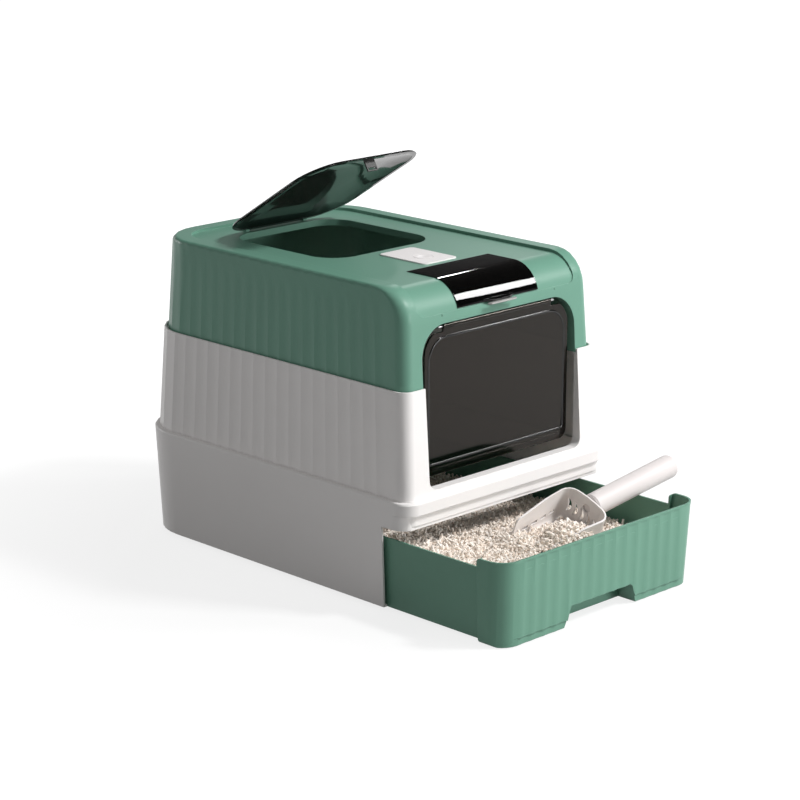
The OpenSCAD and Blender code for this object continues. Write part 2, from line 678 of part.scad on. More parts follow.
module hood() color(green) difference() {
    union() {
        difference() {
            hood_solid();
            hood_hollow();
            roof_cut();
        }
        // jamb round the doorway
        intersection() {
            difference() {
                through_front(-base_l / 2, -hood_face(hinge_z) + wall + jamb_d) doorway(wall, ledge_z, total_h);
                through_front(-base_l, 0) doorway(0, sill_z, total_h);
            }
            loft([hood_smooth(ledge_z, 0.8, ledge_z), hood_smooth(bend_z, 0.8, bend_z)]);
        }
        // lugs for the door's hinge rod
        for (s = [-1, 1]) translate([s * (lug_in + lug_w / 2) - lug_w / 2, hinge_y - 4, hinge_z - 4])
            cube([lug_w, 8, 9]);
        // rim hanging down round the top entry
        translate([0, 0, roof_z - 9]) linear_extrude(8)
            difference() {
                panel(-hole_w - wall, hole_front - wall, hole_w + wall, hole_back + wall, hole_r + wall);
                panel(-hole_w, hole_front, hole_w, hole_back, hole_r);
            }
        // lugs for the roof lid's hinge rod
        for (s = [-1, 1]) translate([s * (lid_lug_x + 3) - 3, lid_hinge_y - 3.4, roof_z - 0.5]) {
            cube([6, 6.8, lid_hinge_z - roof_z + 0.5]);
            translate([0, 3.4, lid_hinge_z - roof_z + 0.5]) rotate([0, 90, 0])
                cylinder(r = 3.4, h = 6, $fn = fine);
        }
        // cheeks that carry the filter window's pins
        for (s = [-1, 1]) translate([s * (window_w + 3.4) - 3, window_pin_y - 3, window_pin_z - 3])
            cube([6, 6, roof_z - wall + 0.2 - window_pin_z + 3]);
        // pocket that the filter tray stands in
        intersection() {
            difference() {
                translate([-ft_w - ft_fit - 2, -base_l, ft_low - 1.5])
                    cube([2 * (ft_w + ft_fit + 2), base_l + ft_back + ft_fit + 2, roof_z - ft_low - wall + 1.7]);
                translate([-ft_w - ft_fit, ft_front - ft_fit, ft_low]) cube([2 * (ft_w + ft_fit),
                    ft_back - ft_front + 2 * ft_fit, 2 * tray_deep]);
                translate([-ft_w + 3, ft_front + 3, ft_low - 2]) cube([2 * ft_w - 6,
                    ft_back - ft_front - 6, tray_deep]);
            }
            along_x(-base_w, base_w) roof_profile(roof_bend - 1.6, roof_z - 1.6, roof_face + 1.6);
        }
    }
    through_front(-base_l, -hood_face(ledge_z) + jamb_d + 12) doorway(0, sill_z, total_h);
    // top entry
    translate([0, 0, roof_z - 20]) linear_extrude(40) panel(-hole_w, hole_front, hole_w, hole_back, hole_r);
    // well for the latch
    translate([0, 0, roof_z - 8]) linear_extrude(20)
        panel(-plate_w + 6, plate_front + 6, plate_w - 6, plate_back - 6, 3);
    // opening under the window cover, into the filter tray's pocket
    translate([-ft_w - ft_fit, -base_l, window_low_z + 5])
        cube([2 * (ft_w + ft_fit), base_l + ft_back + ft_fit, total_h]);
    translate([-window_w - 0.4, window_pin_y - window_barrel - 0.5, roof_z - 7])
        cube([2 * window_w + 0.8, 2 * window_barrel + 0.9, 20]);
    // seat that the window cover lies in, flush with the roof
    difference() {
        translate([-window_w - 0.4, -base_l, window_low_z - 0.4])
            cube([2 * window_w + 0.8, base_l + window_back + 0.4, total_h]);
        along_x(-base_w, base_w)
            roof_profile(roof_bend - window_t / 2 + 0.6, roof_z - window_t + 1.2, roof_face + window_t - 1.2);
    }
    // two small pits under the sunken panel
    for (s = [-1, 1]) translate([s * (window_w + 30), -hood_face(groove_z) + 0.8, groove_z - 2.6])
        rotate([90, 0, 0]) cylinder(r = 1.6, h = 5, $fn = fine);
    // hinge bores
    rod(rod_r + rod_fit, 2 * (lug_in + lug_w) + 1, 0, hinge_y, hinge_z);
    rod(rod_r + rod_fit, 2 * lid_lug_x + 20, 0, lid_hinge_y, lid_hinge_z);
    rod(pin_r + rod_fit, 2 * window_w + 11, 0, window_pin_y, window_pin_z);
}

// ---- Door flap ----
module door_flap() color(smoke) {
    w = door_w - flap_gap;
    low = sill_z + flap_sill_gap;
    top = hinge_z - 2;
    difference() {
        union() {
            through_front(hinge_y - flap_t / 2 - 1, hinge_y + flap_t / 2 - 1) union() {
                r = door_r - flap_gap;
                translate([-w, low + sill_r]) square([2 * w, top - low - sill_r - r]);
                translate([-w + sill_r, low]) square([2 * (w - sill_r), 40]);
                translate([-w + r, low + 20]) square([2 * (w - r), top - low - 20]);
                for (s = [-1, 1]) {
                    translate([s * (w - sill_r), low + sill_r]) circle(sill_r, $fn = fine);
                    translate([s * (w - r), top - r]) circle(r, $fn = fine);
                }
            }
            // stiffening bead across the foot
            through_front(hinge_y - flap_t / 2 - 2, hinge_y + flap_t / 2 - 1)
                translate([-w + sill_r, low + 6]) square([2 * (w - sill_r), 3]);
            rod(3.6, 2 * lug_in - 1, 0, hinge_y, hinge_z);
        }
        rod(rod_r + rod_fit, 2 * lug_in + 2, 0, hinge_y, hinge_z);
        // the panel's shoulders stay under the lugs
        for (s = [-1, 1]) translate([s * (lug_in + lug_w / 2 + 10) - lug_w / 2 - 10.5, hinge_y - 6, hinge_z - 6.5])
            cube([lug_w + 21, 12, 20]);
    }
}
module door_hinge_rod() color(steel) rod(rod_r, 2 * (lug_in + lug_w) - 1, 0, hinge_y, hinge_z);

// ---- Roof lid ----
// Lid lying shut, as layers of a shallow dome
function lid_row(z, i) = let (w = hole_w + lid_lap - i, y0 = hole_front - lid_lap + i,
        y1 = hole_back + lid_lap - i, r = max(6, hole_r + lid_lap - i), c = (y0 + y1) / 2, h = (y1 - y0) / 2)
    [z, [for (p = outline(w, h, h, r, r, 7, 7)) [p[0], p[1] + c]]];
module lid_shut() {
    z = roof_z + 0.5;
    difference() {
        union() {
            loft([lid_row(z, 1), lid_row(z + 0.8, 0), lid_row(z + lid_t, 1.2),
                lid_row(z + lid_t + lid_dome * 0.6, 16), lid_row(z + lid_t + lid_dome * 0.92, 40),
                lid_row(z + lid_t + lid_dome, 70)]);
            translate([-lid_lug_x + 1, lid_hinge_y - 6, z + 0.3]) cube([2 * lid_lug_x - 2, 6, lid_t + 1]);
            rod(3.4, 2 * lid_lug_x - 1, 0, lid_hinge_y, lid_hinge_z);
            // catch that the latch hook holds
            translate([-9, hole_front + 1.4, roof_z - 14]) cube([18, 2, 16.5]);
        }
        translate([-7, hole_front + 1, roof_z - 12.4]) cube([14, 3, 3.2]);
        difference() {
            loft([lid_row(z - 1, 7), lid_row(z + 0.3, 7), lid_row(z + lid_dome * 0.6, 18),
                lid_row(z + lid_dome * 0.92, 41), lid_row(z + lid_dome, 70)]);
            translate([-9, hole_front + 1.4, roof_z - 14]) cube([18, 2, 30]);
        }
        rod(rod_r + rod_fit, 2 * lid_lug_x + 2, 0, lid_hinge_y, lid_hinge_z);
        // room for the hood's hinge lugs
        for (s = [-1, 1]) translate([s * (lid_lug_x + 3) - 3.4, lid_hinge_y - 4.1, roof_z - 1])
            cube([6.8, 12, 12]);
    }
}
module roof_lid() color(smoke) translate([0, lid_hinge_y, lid_hinge_z]) rotate([-lid_angle, 0, 0])
    translate([0, -lid_hinge_y, -lid_hinge_z]) lid_shut();
module lid_hinge_rod() color(steel) rod(rod_r, 2 * lid_lug_x + 11, 0, lid_hinge_y, lid_hinge_z);

// ---- Latch ----
plate_t = 1.5;
well_deep = 17;
hook_z = roof_z - 8;
module latch_plate() color(white) difference() {
    union() {
        translate([0, 0, roof_z]) linear_extrude(plate_t) panel(-plate_w, plate_front, plate_w, plate_back, 6);
        translate([0, 0, roof_z - wall + 0.2]) linear_extrude(wall + 0.3) difference() {
            panel(-plate_w + 6.4, plate_front + 6.4, plate_w - 6.4, plate_back - 6.4, 2.6);
            panel(-plate_w + 8.2, plate_front + 8.2, plate_w - 8.2, plate_back - 8.2, 1.5);
        }
    }
    translate([0, button_y, roof_z - 10]) cylinder(r = button_r + 0.3, h = 20, $fn = fine);
    translate([0, button_y, roof_z + plate_t - 0.5])
        cylinder(r1 = button_r + 0.3, r2 = button_r + 1.4, h = 1, $fn = fine);
}
module latch_button() color(white) translate([0, button_y, 0]) {
    difference() {
        translate([0, 0, roof_z - 5]) cylinder(r = button_r, h = 5 + plate_t, $fn = fine);
        // shallow thumb hollow
        translate([0, 0, roof_z + plate_t + 59.3]) sphere(r = 60, $fn = 96);
        translate([0, 0, roof_z - 6]) cylinder(r = button_r - 2, h = 4, $fn = fine);
    }
    translate([0, 0, roof_z - 11]) cylinder(r = 2, h = 10, $fn = fine);
}
// Coil of round wire as a closed skin
module coil(r, wire, rise, turns) {
    n = 14 * turns;
    function at(k, j) = let (a = k / 14 * 360, b = j * 60, q = r + wire * cos(b))
        [q * cos(a), q * sin(a), wire + (rise - 2 * wire) * k / n + wire * sin(b)];
    polyhedron(points = [for (k = [0:n], j = [0:5]) at(k, j)],
        faces = concat([[for (j = [0:5]) j], [for (j = [5:-1:0]) n * 6 + j]],
            [for (k = [0:n - 1], j = [0:5]) [k * 6 + j, (k + 1) * 6 + j, (k + 1) * 6 + (j + 1) % 6]],
            [for (k = [0:n - 1], j = [0:5]) [k * 6 + j, (k + 1) * 6 + (j + 1) % 6, k * 6 + (j + 1) % 6]]));
}
spring_low = hook_z - 7.95;
spring_rise = roof_z - 2.05 - spring_low;      // up to the ceiling of the button's hollow
module latch_spring() color(steel) translate([0, button_y, spring_low]) coil(4.6, 0.5, spring_rise, 5);
hook_w = 11;
hook_l = 16;
hook_t = 1.4;
module latch_hook() color(white) {
    difference() {
        translate([-hook_w / 2, button_y - hook_l / 2, hook_z - 9.4]) union() {
            cube([hook_w, hook_l, hook_t]);
            translate([0, hook_l - hook_t, 0]) cube([hook_w, hook_t, 7.8]);
            translate([0, hook_l - hook_t, 5.4])
                cube([hook_w, hole_front - button_y + hook_t + 2.6 - hook_l / 2, 2.4]);
        }
        translate([0, button_y, hook_z - 12]) cylinder(r = 3, h = 8, $fn = fine);
    }
}
module latch_housing() color(green) difference() {
    low = roof_z - wall - well_deep;
    translate([-plate_w + 2, plate_front + 2, low]) cube([2 * plate_w - 4, plate_l - 4, well_deep - seat_gap]);
    translate([-plate_w + 9, plate_front + 9, low + 2]) cube([2 * plate_w - 18, plate_l - 18, well_deep]);
    translate([-8, plate_back - 12, low + 7]) cube([16, 12, well_deep]);
    for (s = [-1, 1], y = [plate_front + 5.5, plate_back - 5.5]) translate([s * (plate_w - 5.5), y, low - 1])
        cylinder(r = 1.1 + rod_fit, h = well_deep + 5, $fn = fine);
}
module latch_screws() color(steel)
    for (s = [-1, 1], y = [plate_front + 5.5, plate_back - 5.5])
        translate([s * (plate_w - 5.5), y, roof_z - wall - well_deep - 1.4]) {
            cylinder(r = 2.2, h = 1.3, $fn = fine);
            cylinder(r = 1.1, h = well_deep + 1, $fn = fine);
        }

// ---- Filter window and tray ----
cover_face = roof_face - 1.2;
cover_top = roof_z + 1.2;
cover_bend = roof_bend + 0.6;
module cover_band(i0, i1) difference() {
    roof_profile(cover_bend - i0, cover_top - i0, cover_face + i0);
    roof_profile(cover_bend - i1, cover_top - i1, cover_face + i1);
}
module window_cover() color(smoke) difference() {
    union() {
        intersection() {
            along_x(-window_w, window_w) intersection() {
                cover_band(0, window_t);
                translate([-base_l, window_low_z]) square([base_l + window_pin_y, total_h]);
            }
            translate([0, 0, window_low_z - 1]) linear_extrude(total_h)
                panel(-window_w, -base_l, window_w, window_back, 6);
        }
        // rear edge, rounded about its own hinge line
        rod(window_barrel, 2 * window_w, 0, window_pin_y, window_pin_z);
        // finger tab at the lower edge
        translate([0, 0, window_low_z]) linear_extrude(3) intersection() {
            translate([0, cover_face + 47.5]) circle(54, $fn = 96);
            translate([-27, cover_face - 9]) square([54, 12]);
        }
    }
    rod(pin_r + rod_fit, 2 * window_w + 2, 0, window_pin_y, window_pin_z);
}
module window_hinge_rod() color(steel) rod(pin_r, 2 * window_w + 10, 0, window_pin_y, window_pin_z);

sieve_in = 10;
pack_h = 14;
module filter_tray() color(green) difference() {
    intersection() {
        translate([-ft_w, ft_front, ft_low]) cube([2 * ft_w, ft_back - ft_front, tray_deep]);
        along_x(-ft_w, ft_w) roof_profile(roof_bend - 3.6, roof_z - 3.6, roof_face + 3.6);
    }
    translate([-ft_w + 2, ft_front + 2, ft_low + 2])
        cube([2 * ft_w - 4, ft_back - ft_front - 4, tray_deep]);
    for (i = [-5:5]) translate([i * 9 - 2, ft_front + sieve_in, ft_low - 1])
        cube([4, ft_back - ft_front - 2 * sieve_in, 5]);
}
module filter_pack() color([0.2, 0.2, 0.21])
    translate([-ft_w + 2.6, ft_front + 2.6, ft_low + 2.3])
        cube([2 * ft_w - 5.2, ft_back - ft_front - 5.2, pack_h]);

// ---- Scoop ----
// Own frame: +X from lip to handle, +Z up, origin under the middle of the rear wall.
// It lies so high that its handle just clears the drawer's right wall.
handle_up = basket_h - 16;
scoop_z = tray_h + 0.3 + handle_r - handle_up * cos(scoop_pitch) * cos(scoop_roll)
    - (tray_top_w - tray_wall - scoop_x + handle_up * sin(scoop_pitch)) * tan(scoop_pitch) * cos(scoop_roll);
module scoop_place() translate([scoop_x, scoop_in - base_l / 2 - drawer_out, scoop_z])
    rotate([0, 0, scoop_yaw]) rotate([scoop_roll, 0, 0]) rotate([0, -scoop_pitch, 0]) children();

basket_r = 16;                        // rounding where the sides meet the rear wall
function basket_bend(x, i) = let (r = basket_r - i, d = x + basket_r)
    d <= 0 ? 0 : r - sqrt(max(0, r * r - d * d));
function basket_row(x, i) = let (t = (x + basket_l) / basket_l, e = basket_bend(x, i),
        w = mix(basket_w * 0.82, basket_w, min(1, t)) / 2 - i - e, r = mix(8, 14, t) - i * 0.6,
        lift = 7 * pow(max(0, 1 - t), 3) + 0.6 * e)
    [x, [for (p = concat(corner(-w + r, r + i, r, 180, 4), corner(w - r, r + i, r, 270, 4),
        [[w, basket_h + 6], [-w, basket_h + 6]])) [p[0], p[1] + (p[1] > basket_h ? 0 : lift)]]];
// Loft along X of outlines given in Y-Z
module loft_x(levels) multmatrix([[0, 0, 1, 0], [1, 0, 0, 0], [0, 1, 0, 0], [0, 0, 0, 1]]) loft(levels);
function basket_xs(i) = concat([for (t = [1, 0.86, 0.66, 0.42]) -basket_l * t],
    [for (a = [0, 25, 48, 68, 90]) -basket_r + (basket_r - i) * sin(a)]);
module basket_body(i, over = 0)
    loft_x([for (x = basket_xs(i)) let (row = basket_row(x, i))
        [row[0] - (x <= -basket_l ? over : 0), row[1]]]);
// What is taken off above the sides, which fall towards the lip in a slight bow
module basket_top() rotate([90, 0, 0]) translate([0, 0, -basket_w]) linear_extrude(2 * basket_w) {
    l = basket_l;
    h = lip_side_h;
    polygon(concat([[-l - 20, h - 9], [-l, h - 9]],
        [for (a = [165:-15:90]) [-l + 9 + 9 * cos(a), h - 9 + 9 * sin(a)]],
        [for (t = [0.25, 0.5, 0.75, 1]) [mix(-l + 9, -2, t), mix(h, basket_h, t) + 5 * t * (1 - t)]],
        [[20, basket_h], [20, 2 * basket_h], [-l - 20, 2 * basket_h]]));
}

// Upright crescent of height h, bowed towards the user
function crescent(h) = concat(
    [for (t = [0:0.125:1]) let (b = 4 * t * (1 - t)) [2.5 * t - 4 * b - 2.7 * sqrt(b), h * t]],
    [for (t = [0.875:-0.125:0.125]) let (b = 4 * t * (1 - t)) [2.5 * t - 4 * b + 2.7 * sqrt(b), h * t]]);

peg_r = 6;
neck_l = 6;
module scoop_basket() color(white) scoop_place() difference() {
    union() {
        intersection() {
            difference() {
                basket_body(0);
                basket_body(basket_t, 5);
            }
            // bow of the rear wall's top edge
            translate([-basket_l - 10, 0, basket_h - 2 * basket_w]) rotate([0, 90, 0])
                cylinder(r = 2 * basket_w, h = basket_l + 20, $fn = 96);
        }
        // socket for the handle
        translate([-1, 0, handle_up]) rotate([0, 90, 0]) cylinder(r = 11, h = neck_l + 1, $fn = fine);
    }
    basket_top();
    // bore for the handle's peg
    translate([-4, 0, handle_up]) rotate([0, 90, 0]) cylinder(r = peg_r + rod_fit, h = 20, $fn = fine);
    // slots through the floor
    for (i = [-3:3]) translate([-basket_l + 20, i * 8.5 - 1.6, -2]) cube([basket_l - 42, 3.2, 14]);
    // row of crescent slots in the rear wall
    for (i = [0:5]) translate([0, mix(-0.37, 0.36, i / 5) * basket_w, 17]) along_x(-20, 1)
        polygon(crescent(mix(14, 21, i / 5)));
    // slots low in the far side
    for (i = [0:3]) translate([-basket_l + 20 + i * 19, basket_w / 2 - 14, 16]) cube([12, 30, 5]);
}

module scoop_handle() color(white) scoop_place()
    translate([neck_l + 0.3, 0, handle_up]) rotate([0, 90, 0]) {
        run = handle_l - neck_l - handle_r * 0.7 - 2;
        cylinder(r1 = handle_r - 2.2, r2 = handle_r - 0.5, h = 2, $fn = fine);
        translate([0, 0, 2]) cylinder(r1 = handle_r - 0.5, r2 = handle_r, h = run, $fn = fine);
        translate([0, 0, run + 2]) scale([1, 1, 0.7]) sphere(r = handle_r, $fn = 48);
        translate([0, 0, -neck_l]) cylinder(r = peg_r, h = neck_l + 1, $fn = fine);
    }

// Room that the litter leaves round the scoop, also along its way out
scoop_out = [38, -26, 28];
module scoop_clear() {
    module room() scoop_place() translate([-basket_l - 1, -basket_w / 2 - 1, -0.8])
        cube([basket_l + 2, basket_w + 2, 2 * basket_h]);
    hull() {
        room();
        translate(scoop_out) room();
    }
}

base_housing();
base_feet();
left_runner();
right_runner();
runner_screws();
drawer_stops();
drawer_tray();
litter_bed();
mid_ring();
hood();
door_flap();
door_hinge_rod();
roof_lid();
lid_hinge_rod();
latch_plate();
latch_button();
latch_spring();
latch_hook();
latch_housing();
latch_screws();
filter_tray();
filter_pack();
window_cover();
window_hinge_rod();
scoop_basket();
scoop_handle();
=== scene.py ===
import math
import random

import bmesh
import bpy
from mathutils import Matrix, Vector
from mathutils.bvhtree import BVHTree


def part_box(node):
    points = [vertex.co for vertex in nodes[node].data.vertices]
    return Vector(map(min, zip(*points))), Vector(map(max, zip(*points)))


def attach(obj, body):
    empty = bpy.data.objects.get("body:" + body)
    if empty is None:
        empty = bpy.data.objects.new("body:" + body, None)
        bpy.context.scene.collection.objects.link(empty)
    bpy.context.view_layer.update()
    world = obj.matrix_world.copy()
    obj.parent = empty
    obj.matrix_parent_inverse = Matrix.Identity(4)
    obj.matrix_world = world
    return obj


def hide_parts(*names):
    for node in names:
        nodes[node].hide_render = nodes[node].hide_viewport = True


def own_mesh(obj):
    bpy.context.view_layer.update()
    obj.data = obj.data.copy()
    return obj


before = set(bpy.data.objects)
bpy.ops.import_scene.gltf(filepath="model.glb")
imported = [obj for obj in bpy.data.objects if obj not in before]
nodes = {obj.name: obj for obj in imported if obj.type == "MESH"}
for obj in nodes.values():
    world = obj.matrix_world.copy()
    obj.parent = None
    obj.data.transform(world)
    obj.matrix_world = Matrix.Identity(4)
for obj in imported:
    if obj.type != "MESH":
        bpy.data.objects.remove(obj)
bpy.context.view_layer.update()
print("frame loaded,", len(nodes), "nodes")

# node helpers: what is given as a number or a tuple is set, and a socket is linked


def feed(tree, socket, value):
    if isinstance(value, (int, float, tuple)):
        socket.default_value = value
    else:
        tree.links.new(value, socket)


def feedAll(tree, node, inputs):
    for key, value in inputs.items():
        feed(tree, node.inputs[key], value)


def addNode(tree, kind, inputs=None, **settings):
    node = tree.nodes.new("ShaderNode" + kind)
    for key, value in settings.items():
        setattr(node, key, value)
    feedAll(tree, node, inputs or {})
    return node


def objectCoords(tree):
    return addNode(tree, "TexCoord").outputs["Object"]


def stretchedCoords(tree, scale, turn=(0.0, 0.0, 0.0)):
    inputs = {"Vector": objectCoords(tree), "Scale": scale, "Rotation": turn}
    return addNode(tree, "Mapping", inputs).outputs["Vector"]


def noiseAt(tree, coords, scale, detail=2.0, roughness=0.5):
    inputs = {"Vector": coords, "Scale": scale, "Detail": detail, "Roughness": roughness}
    return addNode(tree, "TexNoise", inputs).outputs["Fac"]


def mathNode(tree, operation, a, b, clamp=False):
    return addNode(tree, "Math", {0: a, 1: b}, operation=operation, use_clamp=clamp).outputs[0]


def mixColour(tree, factor, a, b, blend="MIX"):
    node = addNode(tree, "Mix", data_type="RGBA", blend_type=blend)
    for key, value in (("Factor", factor), ("A", a), ("B", b)):
        feed(tree, [s for s in node.inputs if s.name == key and s.enabled][0], value)
    return [s for s in node.outputs if s.enabled][0]


def remap(tree, value, start, end, low=0.0, high=1.0):
    inputs = {"Value": value, "From Min": start, "From Max": end, "To Min": low, "To Max": high}
    return addNode(tree, "MapRange", inputs).outputs["Result"]


def bumpFrom(tree, height, look, normal=None, invert=False):
    inputs = {"Height": height, "Strength": look["bump"], "Distance": look["depth"]}
    if normal is not None:
        inputs["Normal"] = normal
    return addNode(tree, "Bump", inputs, invert=invert).outputs["Normal"]


def opaque(colour):
    return tuple(colour) + (1.0,)


# shader groups: each reads Object coordinates, so its pattern is in metres


def groupTree(name, inputs, outputs):
    tree = bpy.data.node_groups.new(name, "ShaderNodeTree")
    for label, kind, value in inputs:
        socket = tree.interface.new_socket(label, in_out="INPUT", socket_type="NodeSocket" + kind)
        socket.default_value = value
    for label, kind in outputs:
        tree.interface.new_socket(label, in_out="OUTPUT", socket_type="NodeSocket" + kind)
    return tree, tree.nodes.new("NodeGroupInput"), tree.nodes.new("NodeGroupOutput")


grainLook = dict(tone=(0.5, 0.5, 0.5), drift=0.05, grain=900.0, sheen=0.42, sheenDrift=0.06,
                 slow=9.0, slowDetail=3.0, fineDetail=2.0, fineRoughness=0.6, swing=(0.3, 0.7))
edgeLook = dict(tone=(0.5, 0.5, 0.5), rubbed=(0.8, 0.8, 0.8), amount=0.3, radius=0.0008, samples=6,
                bend=(0.995, 0.80), broken=160.0, brokenDetail=3.0)
dustLook = dict(tone=(0.5, 0.5, 0.5), dust=(0.75, 0.70, 0.62), amount=0.2, top=0.12,
                facing=(0.2, 1.0), clouds=60.0, cloudDetail=6.0, cloudRoughness=0.65,
                patches=(0.45, 0.7))


def makeMouldedGrain(look):
    # fine tool-finish grain, slow tone drift and faint flow marks of moulded plastic
    tree, start, end = groupTree("mouldedGrain", [
        ("Tone", "Color", opaque(look["tone"])), ("Drift", "Float", look["drift"]),
        ("Grain", "Float", look["grain"]), ("Sheen", "Float", look["sheen"]),
        ("Sheen Drift", "Float", look["sheenDrift"])],
        [("Tone", "Color"), ("Roughness", "Float"), ("Height", "Float")])
    coords = objectCoords(tree)
    slow = noiseAt(tree, coords, look["slow"], look["slowDetail"])
    fine = noiseAt(tree, coords, start.outputs["Grain"], look["fineDetail"], look["fineRoughness"])
    low = mathNode(tree, "SUBTRACT", 1.0, start.outputs["Drift"])
    high = mathNode(tree, "ADD", 1.0, start.outputs["Drift"])
    drift = remap(tree, slow, *look["swing"], low, high)
    shade = addNode(tree, "CombineColor", {"Red": drift, "Green": drift, "Blue": drift})
    offset = mathNode(tree, "SUBTRACT", slow, 0.5)
    gloss = mathNode(tree, "MULTIPLY", offset, start.outputs["Sheen Drift"])
    gloss = mathNode(tree, "MULTIPLY", gloss, 2.0)
    feedAll(tree, end, {
        "Tone": mixColour(tree, 1.0, start.outputs["Tone"], shade.outputs[0], "MULTIPLY"),
        "Roughness": mathNode(tree, "ADD", gloss, start.outputs["Sheen"], True),
        "Height": fine})
    return tree


def makeEdgeRub(look):
    # paler, slightly polished corners, and the rounding that catches the light there
    tree, start, end = groupTree("edgeRub", [
        ("Tone", "Color", opaque(look["tone"])), ("Rubbed", "Color", opaque(look["rubbed"])),
        ("Amount", "Float", look["amount"]), ("Radius", "Float", look["radius"])],
        [("Tone", "Color"), ("Normal", "Vector")])
    radius = {"Radius": start.outputs["Radius"]}
    rounded = addNode(tree, "Bevel", radius, samples=look["samples"]).outputs["Normal"]
    plain = addNode(tree, "NewGeometry").outputs["Normal"]
    dot = addNode(tree, "VectorMath", {0: rounded, 1: plain}, operation="DOT_PRODUCT")
    bent = remap(tree, dot.outputs["Value"], *look["bend"])
    broken = noiseAt(tree, objectCoords(tree), look["broken"], look["brokenDetail"])
    amount = mathNode(tree, "MULTIPLY", broken, start.outputs["Amount"])
    mask = mathNode(tree, "MULTIPLY", bent, amount, True)
    feedAll(tree, end, {
        "Tone": mixColour(tree, mask, start.outputs["Tone"], start.outputs["Rubbed"]),
        "Normal": rounded})
    return tree


def makeLitterDust(look):
    # pale dust that gathers low down and on faces that look up
    tree, start, end = groupTree("litterDust", [
        ("Tone", "Color", opaque(look["tone"])), ("Dust", "Color", opaque(look["dust"])),
        ("Amount", "Float", look["amount"]), ("Top", "Float", look["top"])],
        [("Tone", "Color")])
    coords = objectCoords(tree)
    height = addNode(tree, "SeparateXYZ", {"Vector": coords}).outputs["Z"]
    low = remap(tree, height, 0.0, start.outputs["Top"], 1.0, 0.0)
    normal = addNode(tree, "NewGeometry").outputs["Normal"]
    up = remap(tree, addNode(tree, "SeparateXYZ", {"Vector": normal}).outputs["Z"], *look["facing"])
    clouds = noiseAt(tree, coords, look["clouds"], look["cloudDetail"], look["cloudRoughness"])
    patchy = remap(tree, clouds, *look["patches"])
    mask = mathNode(tree, "MULTIPLY", mathNode(tree, "MULTIPLY", low, up), patchy)
    mask = mathNode(tree, "MULTIPLY", mask, start.outputs["Amount"], True)
    toned = mixColour(tree, mask, start.outputs["Tone"], start.outputs["Dust"])
    feedAll(tree, end, {"Tone": toned})
    return tree


mouldedGrain = makeMouldedGrain(grainLook)
edgeRub = makeEdgeRub(edgeLook)
litterDust = makeLitterDust(dustLook)
print("shader groups built")

# materials


def emptyMaterial(name, inputs):
    material = bpy.data.materials.new(name)
    material.use_nodes = True
    tree = material.node_tree
    shader = tree.nodes["Principled BSDF"]
    feedAll(tree, shader, inputs)
    return material, tree, shader


def mouldedPlastic(name, look):
    inputs = {"IOR": 1.49, "Specular IOR Level": look["specular"]}
    material, tree, shader = emptyMaterial(name, inputs)
    grain = addNode(tree, "Group", {
        "Tone": opaque(look["colour"]), "Drift": look["drift"], "Grain": look["grain"],
        "Sheen": look["roughness"], "Sheen Drift": look["roughnessDrift"]}, node_tree=mouldedGrain)
    rub = addNode(tree, "Group", {
        "Tone": grain.outputs["Tone"], "Rubbed": opaque(look["rubbed"]), "Amount": look["rub"],
        "Radius": look["round"]}, node_tree=edgeRub)
    tone = rub.outputs["Tone"]
    if "dust" in look:
        dusty = {"Tone": tone, "Amount": look["dust"], "Top": look["dustTop"]}
        tone = addNode(tree, "Group", dusty, node_tree=litterDust).outputs["Tone"]
    feedAll(tree, shader, {
        "Base Color": tone, "Roughness": grain.outputs["Roughness"],
        "Normal": bumpFrom(tree, grain.outputs["Height"], look, rub.outputs["Normal"])})
    return material


plasticLooks = {
    "green": dict(colour=(0.134, 0.290, 0.218), drift=0.03, grain=1400.0, roughness=0.38,
                  roughnessDrift=0.04, specular=0.28, rubbed=(0.24, 0.42, 0.34), rub=0.35,
                  round=0.0009, bump=0.25, depth=0.00006),
    "drawer": dict(colour=(0.142, 0.300, 0.222), drift=0.03, grain=1400.0, roughness=0.40,
                   roughnessDrift=0.05, specular=0.28, rubbed=(0.25, 0.43, 0.35), rub=0.40,
                   round=0.0009, bump=0.25, depth=0.00006, dust=0.35, dustTop=0.10),
    "white": dict(colour=(0.825, 0.803, 0.792), drift=0.012, grain=1400.0, roughness=0.42,
                  roughnessDrift=0.04, specular=0.32, rubbed=(0.90, 0.89, 0.88), rub=0.25,
                  round=0.0009, bump=0.22, depth=0.00006),
    "slide": dict(colour=(0.80, 0.79, 0.76), drift=0.02, grain=900.0, roughness=0.34,
                  roughnessDrift=0.08, specular=0.4, rubbed=(0.88, 0.88, 0.86), rub=0.5,
                  round=0.0004, bump=0.15, depth=0.00006, dust=0.4, dustTop=0.03),
    "scoop": dict(colour=(0.77, 0.735, 0.720), drift=0.02, grain=1200.0, roughness=0.40,
                  roughnessDrift=0.06, specular=0.32, rubbed=(0.86, 0.83, 0.81), rub=0.3,
                  round=0.0006, bump=0.2, depth=0.00006),
    "latch": dict(colour=(0.85, 0.82, 0.815), drift=0.01, grain=1500.0, roughness=0.28,
                  roughnessDrift=0.04, specular=0.45, rubbed=(0.90, 0.89, 0.88), rub=0.2,
                  round=0.0004, bump=0.12, depth=0.00006),
}
# the grip is the scoop's own plastic painted darker, as painted shade: bowl and grip are lit and
# shaded copies of one plastic
plasticLooks["shadedScoopGrip"] = dict(plasticLooks["scoop"], colour=(0.68, 0.635, 0.625))
# the window grip's grey is painted highlight: the lip is smoked plastic, and the grey stands in for
# the light it catches from above
plasticLooks["grip"] = dict(plasticLooks["latch"], colour=(0.30, 0.30, 0.29),
                            rubbed=(0.42, 0.42, 0.41))
plasticLooks["dark"] = dict(plasticLooks["latch"], colour=(0.016, 0.016, 0.015),
                            rubbed=(0.05, 0.05, 0.05), roughness=0.45)
plastics = {key: mouldedPlastic(key + "Plastic", look) for key, look in plasticLooks.items()}

